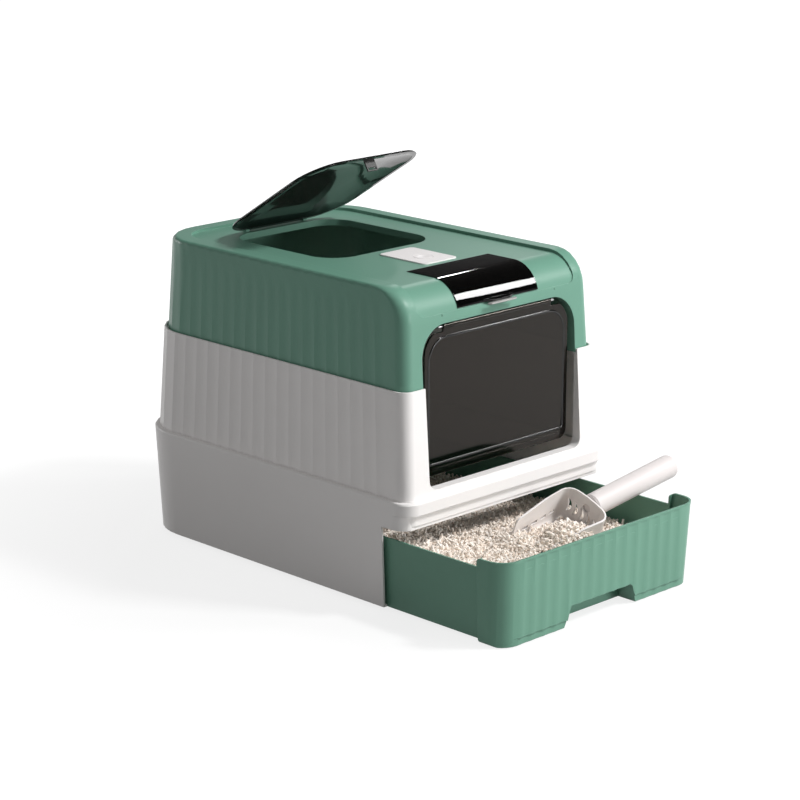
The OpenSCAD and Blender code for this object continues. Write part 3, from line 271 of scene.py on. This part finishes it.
# clear plastic with a smoke tint: lid, window and flap share one skin of haze and fine scuffs
smokedSkin = dict(haze=26.0, hazeDetail=5.0, hazeRoughness=0.6, uneven=0.02, darker=0.9,
                  scuffScale=(40.0, 900.0, 900.0), scuffTurn=(0.2, 0.4, 0.7), scuffDetail=2.0,
                  scuffRoughness=0.7, scuffs=(0.66, 0.78), rubbed=(0.3, 0.29, 0.28), rub=0.15,
                  round=0.0006, bump=0.012, depth=0.0002)
smokedLooks = {
    "lid": dict(tint=(0.007, 0.0065, 0.006), roughness=0.05, scuff=0.08, ior=1.49,
                sheen=(1.0, 1.0, 1.0)),
    "window": dict(tint=(0.018, 0.016, 0.014), roughness=0.04, scuff=0.07, ior=1.49,
                   sheen=(1.0, 1.0, 1.0)),
    "flap": dict(tint=(0.034, 0.027, 0.021), roughness=0.05, scuff=0.10, ior=1.40,
                 sheen=(0.74, 0.66, 0.58)),
}


def smokedPlastic(name, look, skin):
    material, tree, shader = emptyMaterial(name, {
        "IOR": look["ior"], "Transmission Weight": 1.0, "Metallic": 0.0,
        "Specular Tint": opaque(look["sheen"])})
    haze = noiseAt(tree, objectCoords(tree), skin["haze"], skin["hazeDetail"],
                   skin["hazeRoughness"])
    stretched = stretchedCoords(tree, skin["scuffScale"], skin["scuffTurn"])
    scuffs = noiseAt(tree, stretched, 1.0, skin["scuffDetail"], skin["scuffRoughness"])
    scuffs = remap(tree, scuffs, *skin["scuffs"], 0.0, look["scuff"])
    rough = remap(tree, haze, 0.0, 1.0, look["roughness"] - skin["uneven"],
                  look["roughness"] + skin["uneven"])
    darker = tuple(value * skin["darker"] for value in look["tint"])
    rub = addNode(tree, "Group", {
        "Tone": mixColour(tree, haze, opaque(look["tint"]), opaque(darker)),
        "Rubbed": opaque(skin["rubbed"]), "Amount": skin["rub"], "Radius": skin["round"]},
        node_tree=edgeRub)
    feedAll(tree, shader, {
        "Base Color": rub.outputs["Tone"], "Roughness": mathNode(tree, "ADD", rough, scuffs, True),
        "Normal": bumpFrom(tree, haze, skin, rub.outputs["Normal"])})
    return material


smoked = {key: smokedPlastic(key + "Smoked", look, smokedSkin)
          for key, look in smokedLooks.items()}

pelletLook = dict(fibre=1600.0, detail=4.0, tangle=0.7, dull=(0.84, 0.74, 0.65),
                  pale=(0.96, 0.90, 0.84), speck=(0.60, 0.49, 0.39), specks=(0.62, 0.75),
                  speckAmount=0.4, roughness=(0.75, 0.95), bump=0.5, depth=0.0003)
# the dark tone is painted shade in the gaps between the crumbs
crumbLook = dict(scale=260.0, pale=(0.74, 0.62, 0.52), dark=(0.36, 0.28, 0.22), roughness=0.95,
                 bump=0.9, depth=0.002)
rubberLook = dict(colour=(0.028, 0.028, 0.028), drift=0.2, grain=700.0, roughness=0.72,
                  roughnessDrift=0.1, ior=1.5, bump=0.4, depth=0.0001)
steelLook = dict(detail=4.0, tangle=0.7, dark=(0.50, 0.50, 0.51), pale=(0.68, 0.68, 0.69),
                 smoother=0.08, rougher=0.10, bump=0.2, depth=0.00005)
feltLook = dict(scale=(700.0, 1500.0, 1100.0), detail=6.0, tangle=0.75,
                dark=(0.010, 0.010, 0.011), pale=(0.060, 0.060, 0.064), roughness=0.98,
                bump=0.9, depth=0.0008)


def pelletMaterial(look):
    # dry pressed pulp: every pellet keeps its own tone, with a fibrous skin
    material, tree, shader = emptyMaterial("litterPellets", {})
    tone = addNode(tree, "Attribute", attribute_name="pelletTone").outputs["Fac"]
    fibre = noiseAt(tree, objectCoords(tree), look["fibre"], look["detail"], look["tangle"])
    base = mixColour(tree, tone, opaque(look["dull"]), opaque(look["pale"]))
    specks = remap(tree, fibre, *look["specks"], 0.0, look["speckAmount"])
    feedAll(tree, shader, {
        "Base Color": mixColour(tree, specks, base, opaque(look["speck"])),
        "Roughness": remap(tree, fibre, 0.0, 1.0, *look["roughness"]),
        "Normal": bumpFrom(tree, fibre, look)})
    return material


def litterFloorMaterial(look):
    material, tree, shader = emptyMaterial("litterFloor", {"Roughness": look["roughness"]})
    inputs = {"Vector": objectCoords(tree), "Scale": look["scale"], "Randomness": 1.0}
    # darker between the crumbs, where the bump sinks: painted shade in the gaps, from the pattern
    # that also gives the bump
    gapShadeAndDepth = addNode(tree, "TexVoronoi", inputs).outputs["Distance"]
    feedAll(tree, shader, {
        "Base Color": mixColour(tree, gapShadeAndDepth, opaque(look["pale"]), opaque(look["dark"])),
        "Normal": bumpFrom(tree, gapShadeAndDepth, look, invert=True)})
    return material


def rubberMaterial(look):
    material, tree, shader = emptyMaterial("footRubber", {"IOR": look["ior"]})
    grain = addNode(tree, "Group", {
        "Tone": opaque(look["colour"]), "Drift": look["drift"], "Grain": look["grain"],
        "Sheen": look["roughness"], "Sheen Drift": look["roughnessDrift"]}, node_tree=mouldedGrain)
    feedAll(tree, shader, {
        "Base Color": grain.outputs["Tone"], "Roughness": grain.outputs["Roughness"],
        "Normal": bumpFrom(tree, grain.outputs["Height"], look)})
    return material


def drawnSteel(name, along, roughness, look):
    material, tree, shader = emptyMaterial(name, {"Metallic": 1.0})
    lines = noiseAt(tree, stretchedCoords(tree, along), 1.0, look["detail"], look["tangle"])
    feedAll(tree, shader, {
        "Base Color": mixColour(tree, lines, opaque(look["dark"]), opaque(look["pale"])),
        "Roughness": remap(tree, lines, 0.0, 1.0, roughness - look["smoother"],
                           roughness + look["rougher"]),
        "Normal": bumpFrom(tree, lines, look)})
    return material


def charcoalMaterial(look):
    material, tree, shader = emptyMaterial("charcoalFelt", {"Roughness": look["roughness"]})
    stretched = stretchedCoords(tree, look["scale"])
    fibres = noiseAt(tree, stretched, 1.0, look["detail"], look["tangle"])
    feedAll(tree, shader, {
        "Base Color": mixColour(tree, fibres, opaque(look["dark"]), opaque(look["pale"])),
        "Normal": bumpFrom(tree, fibres, look)})
    return material


pelletSkin = pelletMaterial(pelletLook)
litterGround = litterFloorMaterial(crumbLook)
footRubber = rubberMaterial(rubberLook)
rodSteel = drawnSteel("rodSteel", (30.0, 2500.0, 2500.0), 0.28, steelLook)
screwSteel = drawnSteel("screwSteel", (900.0, 900.0, 200.0), 0.36, steelLook)
springSteel = drawnSteel("springSteel", (1200.0, 1200.0, 1200.0), 0.30, steelLook)
charcoal = charcoalMaterial(feltLook)
print("materials built")

# pieces


def finishPiece(name, shape, material, body):
    mesh = bpy.data.meshes.new(name)
    shape.to_mesh(mesh)
    shape.free()
    piece = bpy.data.objects.new(name, mesh)
    bpy.context.scene.collection.objects.link(piece)
    mesh.materials.append(material)
    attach(piece, body)
    return piece


# what counts as a ridge between two flutes: its bend in degrees, its length and where it lies
wallRidges = dict(bend=9.0, low=-0.235, high=1.0, halfWidth=1.0, shortest=0.02, upright=0.9)
frontRidges = dict(bend=6.0, low=-1.0, high=-0.36, halfWidth=0.155, shortest=0.02, upright=0.9)


def shadeSmooth(shape, sharpFrom, ridges=None):
    # smooth skin with sharp edges; the low ridges between the flutes of a wall stay sharp too
    for face in shape.faces:
        face.smooth = True
    for edge in shape.edges:
        if len(edge.link_faces) != 2:
            edge.smooth = False
            continue
        bend = math.degrees(edge.calc_face_angle_signed(0.0))
        edge.smooth = abs(bend) < sharpFrom
        if ridges is None or bend < ridges["bend"]:
            continue
        first, second = (vertex.co for vertex in edge.verts)
        run, middle = second - first, (first + second) / 2
        upright = run.length > ridges["shortest"] and abs(run.z) > ridges["upright"] * run.length
        inside = ridges["low"] < middle.y < ridges["high"] and abs(middle.x) < ridges["halfWidth"]
        if upright and inside:
            edge.smooth = False


def evenNormals(piece, weight=80):
    # large faces lead the shading, so that flat walls stay flat
    weighted = piece.modifiers.new("evenNormals", "WEIGHTED_NORMAL")
    weighted.mode = "FACE_AREA"
    weighted.weight = weight
    weighted.keep_sharp = True


def mergedCopy(nodeName, flatBelow=0.6, weld=0.00002):
    # the solid's own faces again, joined up so that they can be shaded
    shape = bmesh.new()
    shape.from_mesh(nodes[nodeName].data)
    bmesh.ops.remove_doubles(shape, verts=shape.verts, dist=weld)
    bmesh.ops.dissolve_limit(shape, angle_limit=math.radians(flatBelow), verts=shape.verts,
                             edges=shape.edges)
    return shape


frontFlutes = dict(count=14, run=0.300, y=(-0.4307, -0.4285), facing=-0.99, smallest=0.01,
                   cuts=4, weld=0.00002, slack=0.0001, middle=0.062, atMiddle=0.0010,
                   foot=0.004, atFoot=0.0014, foremost=-0.4315)


def cutFrontFlutes(shape, look):
    # the flutes run down the whole of the drawer's front; their ridges stand out of its flat panel
    pitch = look["run"] / look["count"]
    flat = [face for face in shape.faces
            if face.normal.y < look["facing"] and face.calc_area() > look["smallest"]
            and look["y"][0] < face.calc_center_median().y < look["y"][1]]
    for step in range(look["cuts"] * look["count"] + 1):
        parts = set(flat)
        for face in flat:
            parts.update(face.edges)
            parts.update(face.verts)
        across = -look["run"] / 2 + step * pitch / look["cuts"]
        cut = bmesh.ops.bisect_plane(shape, geom=list(parts), dist=look["weld"],
                                     plane_no=(1, 0, 0), plane_co=(across, 0, 0))
        flat = [item for item in cut["geom"] if isinstance(item, bmesh.types.BMFace)]
    for vertex in {corner for face in flat for corner in face.verts}:
        if abs(vertex.co.x) > look["run"] / 2 + look["slack"]:
            continue
        share = (vertex.co.x + look["run"] / 2) / pitch % 1.0
        down = (look["middle"] - vertex.co.z) / (look["middle"] - look["foot"])
        height = look["atMiddle"] + (look["atFoot"] - look["atMiddle"]) * down
        ridge = vertex.co.y - height * (1.0 - 4.0 * share * (1.0 - share))
        vertex.co.y = max(ridge, look["foremost"])


shells = {
    "hood": dict(name="hoodShell", material="green", body="hood_shell", slot="green_plastic",
                 sharp=32, ridges=wallRidges),
    "mid_ring": dict(name="ringShell", material="white", body="ring", slot="white_plastic",
                     sharp=32, ridges=wallRidges),
    "base_housing": dict(name="baseShell", material="white", body="base", slot="white_plastic",
                         sharp=32),
    "drawer_tray": dict(name="drawerShell", material="drawer", body="drawer",
                        slot="green_plastic", sharp=32, ridges=frontRidges),
    "scoop_basket": dict(name="scoopBowl", material="scoop", body="scoop", slot="scoop_plastic",
                         sharp=38),
    # the grip wears the scoop's plastic painted darker, as painted shade
    "scoop_handle": dict(name="shadedScoopGrip", material="shadedScoopGrip", body="scoop",
                         slot="scoop_plastic", sharp=38),
    "latch_plate": dict(name="latchPlate", material="latch", body="hood_shell",
                        slot="white_gloss", sharp=32),
    "latch_button": dict(name="latchButton", material="latch", body="button",
                         slot="white_gloss", sharp=32),
    "roof_lid": dict(name="roofLid", material="lid", body="lid", slot="smoked_plastic", sharp=19),
    "window_cover": dict(name="windowCover", material="window", body="window",
                         slot="smoked_plastic", sharp=30),
    "door_flap": dict(name="doorFlap", material="flap", body="flap", slot="smoked_plastic",
                      sharp=20),
}
for nodeName, look in shells.items():
    skin = mergedCopy(nodeName)
    if nodeName == "drawer_tray":
        cutFrontFlutes(skin, frontFlutes)
    shadeSmooth(skin, look["sharp"], look.get("ridges"))
    finish = plastics.get(look["material"]) or smoked[look["material"]]
    shell = finishPiece(look["name"], skin, finish, look["body"])
    evenNormals(shell)
    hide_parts(nodeName)
print("shells smoothed")

# the catch under the lid is a plain dark moulding; it lies below a plane along the open lid
lidCatch = dict(halfWidth=0.0092, inFrontOf=0.03, planeY=0.5225, planeZ=0.8526, below=0.4405)
lidSkin = bpy.data.objects["roofLid"].data
lidSkin.materials.append(plastics["dark"])
for face in lidSkin.polygons:
    height = lidCatch["planeY"] * face.center.y + lidCatch["planeZ"] * face.center.z
    if abs(face.center.x) < lidCatch["halfWidth"] and face.center.y < lidCatch["inFrontOf"]:
        if height < lidCatch["below"]:
            face.material_index = 1

# raised bead round the flap's panel
flapBead = dict(width=0.2550, low=0.1825, high=0.3490, y=-0.2448, proud=0.0001, topCorner=0.032,
                footCorner=0.007, cornerSteps=8, slack=0.0001, band=0.0014, rise=0.0011, sharp=60)


def makeFlapBead(look):
    shape = bmesh.new()
    bmesh.ops.create_grid(shape, x_segments=1, y_segments=1, size=0.5)
    height = look["high"] - look["low"]
    bmesh.ops.scale(shape, verts=shape.verts, vec=(look["width"], height, 1.0))
    for radius, side in ((look["topCorner"], 1), (look["footCorner"], -1)):
        ends = [vertex for vertex in shape.verts if vertex.co.y * side > 0
                and abs(vertex.co.x) > look["width"] / 2 - look["slack"]]
        bmesh.ops.bevel(shape, geom=ends, offset=radius, offset_type="OFFSET",
                        affect="VERTICES", segments=look["cornerSteps"], profile=0.5, material=-1)
    upright = Matrix.Rotation(math.pi / 2, 3, "X")
    bmesh.ops.rotate(shape, verts=shape.verts, cent=(0, 0, 0), matrix=upright)
    place = (0, look["y"] + look["proud"], (look["low"] + look["high"]) / 2)
    bmesh.ops.translate(shape, verts=shape.verts, vec=place)
    panel = list(shape.faces)
    for step, share in ((look["rise"], 1), (0.0, 2), (-look["rise"], 1)):
        bmesh.ops.inset_region(shape, faces=panel, thickness=look["band"] / share, depth=step,
                               use_even_offset=True, use_boundary=True)
    bmesh.ops.delete(shape, geom=panel, context="FACES")
    rims = [edge for edge in shape.edges if edge.is_boundary]
    bmesh.ops.bridge_loops(shape, edges=rims)
    bmesh.ops.recalc_face_normals(shape, faces=shape.faces)
    shadeSmooth(shape, look["sharp"])
    return finishPiece("flapBead", shape, smoked["window"], "flap")


# finger grip under the window's front edge; its grey plastic is painted highlight, standing in for
# the light that a smoked glossy lip catches from above
windowGrip = dict(width=0.053, x=-0.0015, y=-0.2545, z=0.3790, deep=0.0052, tall=0.0030,
                  taper=(0.86, 1.0, 0.8), corner=0.0012, cornerSteps=3, sharp=60)


def makeWindowGrip(look):
    shape = bmesh.new()
    bmesh.ops.create_cube(shape, size=1.0)
    bmesh.ops.scale(shape, verts=shape.verts, vec=(look["width"], look["deep"], look["tall"]))
    front = [vertex for vertex in shape.verts if vertex.co.y < 0]
    bmesh.ops.scale(shape, verts=front, vec=look["taper"])
    bmesh.ops.bevel(shape, geom=shape.edges[:], offset=look["corner"], affect="EDGES",
                    segments=look["cornerSteps"], profile=0.5, material=-1)
    bmesh.ops.translate(shape, verts=shape.verts, vec=(look["x"], look["y"], look["z"]))
    shadeSmooth(shape, look["sharp"])
    return finishPiece("windowGrip", shape, plastics["grip"], "window")


makeFlapBead(flapBead)
makeWindowGrip(windowGrip)
print("flap bead and window grip added")

# the button's spring stands over the hook's plate, under the button; its faces are joined and
# shaded smooth
springFit = dict(rise=0.0139, press=0.0030, flatBelow=2.0, sharp=50)
coil = mergedCopy("latch_spring", springFit["flatBelow"])
shadeSmooth(coil, springFit["sharp"])
buttonSpring = finishPiece("buttonSpring", coil, springSteel, "hood_shell")
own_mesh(buttonSpring)
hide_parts("latch_spring")

nodeLooks = {
    "base_feet": footRubber, "left_runner": plastics["slide"], "right_runner": plastics["slide"],
    "runner_screws": screwSteel, "drawer_stops": plastics["slide"],
    "door_hinge_rod": rodSteel, "lid_hinge_rod": rodSteel, "window_hinge_rod": rodSteel,
    "latch_hook": smoked["lid"], "latch_housing": plastics["green"], "latch_screws": screwSteel,
    "filter_tray": plastics["green"], "filter_pack": charcoal,
}
for nodeName, material in nodeLooks.items():
    mesh = nodes[nodeName].data
    mesh.materials.clear()
    mesh.materials.append(material)

# the heap: a lumpy bed with a thick scatter of loose pellets pressed into it
litter = dict(radius=0.00165, thinnest=0.85, thickest=1.12, sides=6, shortest=0.011,
              longest=0.0175, stand=0.60, sink=0.0020, lift=0.0045, margin=0.007, dropFrom=0.3,
              steepest=0.35)
heaps = {
    "pelletsFront": dict(count=5400, seed=7, low=(-0.24, -0.40), high=(0.24, -0.235)),
    "pelletsMiddle": dict(count=4200, seed=11, low=(-0.24, -0.235), high=(0.24, -0.05)),
    "pelletsBack": dict(count=2400, seed=13, low=(-0.24, -0.05), high=(0.24, 0.30)),
}
mounds = {
    "pelletsMound": dict(count=900, seed=21, low=(-0.030, -0.374), high=(0.066, -0.330),
                         foot=0.070, rise=0.030, middle=(0.014, -0.352), reach=(0.052, 0.030),
                         depth=0.008),
    "pelletsLip": dict(count=520, seed=23, low=(-0.064, -0.350), high=(-0.016, -0.284),
                       foot=0.074, rise=0.014, middle=(-0.036, -0.318), reach=(0.030, 0.034),
                       depth=0.008),
}
scoopful = dict(count=620, seed=5, origin=(0.082, -0.317, 0.06675), yaw=4.5, roll=24.0,
                pitch=7.0, length=0.108, width=0.060, backGap=0.012, tipGap=0.006, sideGap=0.010,
                level=0.0215, floor=0.0045, bank=0.8, fall=0.10, fallFrom=-0.06, depth=0.007,
                least=0.003)


def pelletMould():
    shape = bmesh.new()
    bmesh.ops.create_cone(shape, cap_ends=True, segments=litter["sides"], radius1=1.0,
                          radius2=1.0, depth=1.0)
    mould = bpy.data.meshes.new("pelletMould")
    shape.to_mesh(mould)
    shape.free()
    start = [value for vertex in mould.vertices for value in vertex.co]
    return mould, start


def pelletHeap(name, places, seed, body):
    # one pellet is stamped at every place, each with its own tone
    rng = random.Random(seed)
    mould, start = pelletMould()
    faces = len(mould.polygons)
    heap = bmesh.new()
    tones = []
    for place in places:
        mould.vertices.foreach_set("co", start)
        mould.transform(place)
        heap.from_mesh(mould)
        tones += [rng.random()] * faces
    bpy.data.meshes.remove(mould)
    piece = finishPiece(name, heap, pelletSkin, body)
    layer = piece.data.attributes.new("pelletTone", "FLOAT", "FACE")
    layer.data.foreach_set("value", tones)


def pelletPlace(rng, spot, lean):
    length = rng.uniform(litter["shortest"], litter["longest"])
    radius = litter["radius"] * rng.uniform(litter["thinnest"], litter["thickest"])
    turn = (Matrix.Rotation(rng.uniform(0, math.tau), 4, "Z")
            @ Matrix.Rotation(math.pi / 2 + rng.gauss(0.0, litter["stand"]), 4, "X"))
    size = Matrix.Diagonal((radius, radius, length, 1.0))
    return Matrix.Translation(spot) @ lean @ turn @ size


def bedPlaces(ground, look):
    rng = random.Random(look["seed"])
    ground.calc_loop_triangles()
    tree = BVHTree.FromPolygons([vertex.co.copy() for vertex in ground.vertices],
                                [tuple(tri.vertices) for tri in ground.loop_triangles])
    low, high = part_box("litter_bed")
    margin = litter["margin"]
    places = []
    for _ in range(look["count"]):
        x = rng.uniform(max(low.x + margin, look["low"][0]), min(high.x - margin, look["high"][0]))
        y = rng.uniform(max(low.y + margin, look["low"][1]), min(high.y - margin, look["high"][1]))
        hit, normal, _, _ = tree.ray_cast(Vector((x, y, litter["dropFrom"])), Vector((0, 0, -1)))
        if hit is None or normal.z < litter["steepest"]:
            continue
        lean = normal.to_track_quat("Z", "Y").to_matrix().to_4x4()
        rise = litter["radius"] + rng.uniform(-litter["sink"], litter["lift"])
        places.append(pelletPlace(rng, hit + Vector((0, 0, rise)), lean))
    return places


def scoopPlaces(look):
    # a heap in the tipped basket, deepest against its near side
    rng = random.Random(look["seed"])
    seat = (Matrix.Translation(look["origin"])
            @ Matrix.Rotation(math.radians(look["yaw"]), 4, "Z")
            @ Matrix.Rotation(math.radians(look["roll"]), 4, "X")
            @ Matrix.Rotation(math.radians(-look["pitch"]), 4, "Y"))
    slope = math.tan(math.radians(look["roll"])) * look["bank"]
    places = []
    for _ in range(look["count"]):
        x = -rng.uniform(look["backGap"], look["length"] - look["tipGap"])
        y = rng.uniform(-0.5, 0.5) * (look["width"] - look["sideGap"])
        top = look["level"] - slope * y
        if x > look["fallFrom"]:
            top -= look["fall"] * (look["length"] + x)
        z = rng.uniform(max(look["floor"], top - look["depth"]),
                        max(top, look["floor"] + look["least"]))
        places.append(seat @ pelletPlace(rng, Vector((x, y, z)), Matrix.Identity(4)))
    return places


def moundPlaces(look):
    # loose litter banked up between the basket and the drawer's front
    rng = random.Random(look["seed"])
    (middleX, middleY), (reachX, reachY) = look["middle"], look["reach"]
    places = []
    for _ in range(look["count"]):
        x, y = (rng.uniform(low, high) for low, high in zip(look["low"], look["high"]))
        away = math.hypot((x - middleX) / reachX, (y - middleY) / reachY)
        if away > 1.0:
            continue
        top = look["foot"] + look["rise"] * (1.0 - away * away)
        spot = Vector((x, y, top - rng.uniform(0.0, look["depth"])))
        places.append(pelletPlace(rng, spot, Matrix.Identity(4)))
    return places


bed = finishPiece("litterGround", mergedCopy("litter_bed", 0.01), litterGround, "drawer")
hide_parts("litter_bed")
for name, look in heaps.items():
    pelletHeap(name, bedPlaces(bed.data, look), look["seed"], "drawer")
for name, look in mounds.items():
    pelletHeap(name, moundPlaces(look), look["seed"], "drawer")
pelletHeap("pelletsScoop", scoopPlaces(scoopful), scoopful["seed"], "scoop")
print("litter scattered")

# stage, light and camera; each lamp stands off along its direction and looks back at the box
stage = dict(size=9.0, drop=0.0005, tone=0.20, bounce=0.35, glow=0.80, farGlow=1.0,
             glowFrom=0.35, glowTo=1.2, sky=0.30, ceiling=0.04, ceilingFrom=0.10,
             ceilingTo=0.22, distance=4.0, aim=(0.0, -0.05, 0.20))
lamps = {
    "keyLamp": dict(towards=(0.36, -0.56, 0.745), power=116.0, width=0.55, height=0.55),
    "frontFill": dict(towards=(0.35, -0.92, 0.18), power=56.0, width=1.4, height=1.0),
    "softBox": dict(towards=(0.677, -0.529, 0.511), power=38.0, width=0.60, height=1.05),
    "edgeStrip": dict(towards=(0.677, 0.538, 0.502), power=7.5, width=0.12, height=0.40),
    "rearGlance": dict(towards=(-0.20, 0.95, 0.20), power=18.0, width=0.8, height=0.8),
}
camera = dict(sensor=36.0, lens=114.75, location=(-2.3062, -2.4013, 1.1281),
              turn=(74.38, 0.0, -44.65))


def seenValue(tree, hidden, seen):
    # one value for rays that only carry light, another where camera, gloss or a clear part sees it
    paths = addNode(tree, "LightPath").outputs
    clear = mathNode(tree, "MAXIMUM", paths["Is Glossy Ray"], paths["Is Transmission Ray"])
    viewed = mathNode(tree, "MAXIMUM", paths["Is Camera Ray"], clear)
    return remap(tree, viewed, 0.0, 1.0, hidden, seen)


def makeFloor():
    shape = bmesh.new()
    bmesh.ops.create_grid(shape, x_segments=1, y_segments=1, size=stage["size"])
    bmesh.ops.translate(shape, verts=shape.verts, vec=(0, 0, -stage["drop"]))
    mesh = bpy.data.meshes.new("floor")
    shape.to_mesh(mesh)
    shape.free()
    floor = bpy.data.objects.new("floor", mesh)
    bpy.context.scene.collection.objects.link(floor)
    material, tree, shader = emptyMaterial("paleFloor", {
        "Roughness": 1.0, "Specular IOR Level": 0.0, "Emission Color": opaque((1.0, 1.0, 1.0))})
    tone = seenValue(tree, stage["bounce"], stage["tone"])
    grey = addNode(tree, "CombineColor", {"Red": tone, "Green": tone, "Blue": tone}).outputs[0]
    reach = addNode(tree, "VectorMath", {0: objectCoords(tree)}, operation="LENGTH")
    glow = remap(tree, reach.outputs["Value"], stage["glowFrom"], stage["glowTo"],
                 stage["glow"], stage["farGlow"])
    feedAll(tree, shader, {
        "Base Color": grey,
        "Emission Strength": mathNode(tree, "MULTIPLY", seenValue(tree, 0.0, 1.0), glow)})
    mesh.materials.append(material)


def makeLamp(name, look):
    lamp = bpy.data.lights.new(name, "AREA")
    lamp.energy = look["power"]
    lamp.shape = "RECTANGLE"
    lamp.size = look["width"]
    lamp.size_y = look["height"]
    holder = bpy.data.objects.new(name, lamp)
    direction = Vector(look["towards"]).normalized()
    holder.location = direction * stage["distance"] + Vector(stage["aim"])
    holder.rotation_euler = direction.to_track_quat("Z", "Y").to_euler()
    bpy.context.scene.collection.objects.link(holder)


def makeSky():
    # white backdrop all round, which a gloss sees up to the dim studio ceiling
    world = bpy.data.worlds.new("studio")
    world.use_nodes = True
    bpy.context.scene.world = world
    tree = world.node_tree
    back = tree.nodes["Background"]
    towards = addNode(tree, "TexCoord").outputs["Generated"]
    height = addNode(tree, "SeparateXYZ", {"Vector": towards}).outputs["Z"]
    ceiling = remap(tree, height, stage["ceilingFrom"], stage["ceilingTo"], 1.0, stage["ceiling"])
    paths = addNode(tree, "LightPath").outputs
    gloss = mathNode(tree, "MULTIPLY", paths["Is Glossy Ray"], ceiling)
    clear = mathNode(tree, "MAXIMUM", paths["Is Camera Ray"], paths["Is Transmission Ray"])
    diffuse = mathNode(tree, "MULTIPLY", paths["Is Diffuse Ray"], stage["sky"])
    seen = mathNode(tree, "MAXIMUM", gloss, clear)
    feedAll(tree, back, {
        "Color": opaque((1.0, 1.0, 1.0)), "Strength": mathNode(tree, "MAXIMUM", seen, diffuse)})


def makeCamera():
    lens = bpy.data.cameras.new("camera")
    lens.sensor_width = camera["sensor"]
    lens.lens = camera["lens"]
    holder = bpy.data.objects.new("camera", lens)
    holder.location = camera["location"]
    holder.rotation_euler = [math.radians(angle) for angle in camera["turn"]]
    bpy.context.scene.collection.objects.link(holder)
    bpy.context.scene.camera = holder


makeFloor()
for name, look in lamps.items():
    makeLamp(name, look)
makeSky()
makeCamera()
bpy.context.scene.view_settings.view_transform = "Standard"
print("stage set")
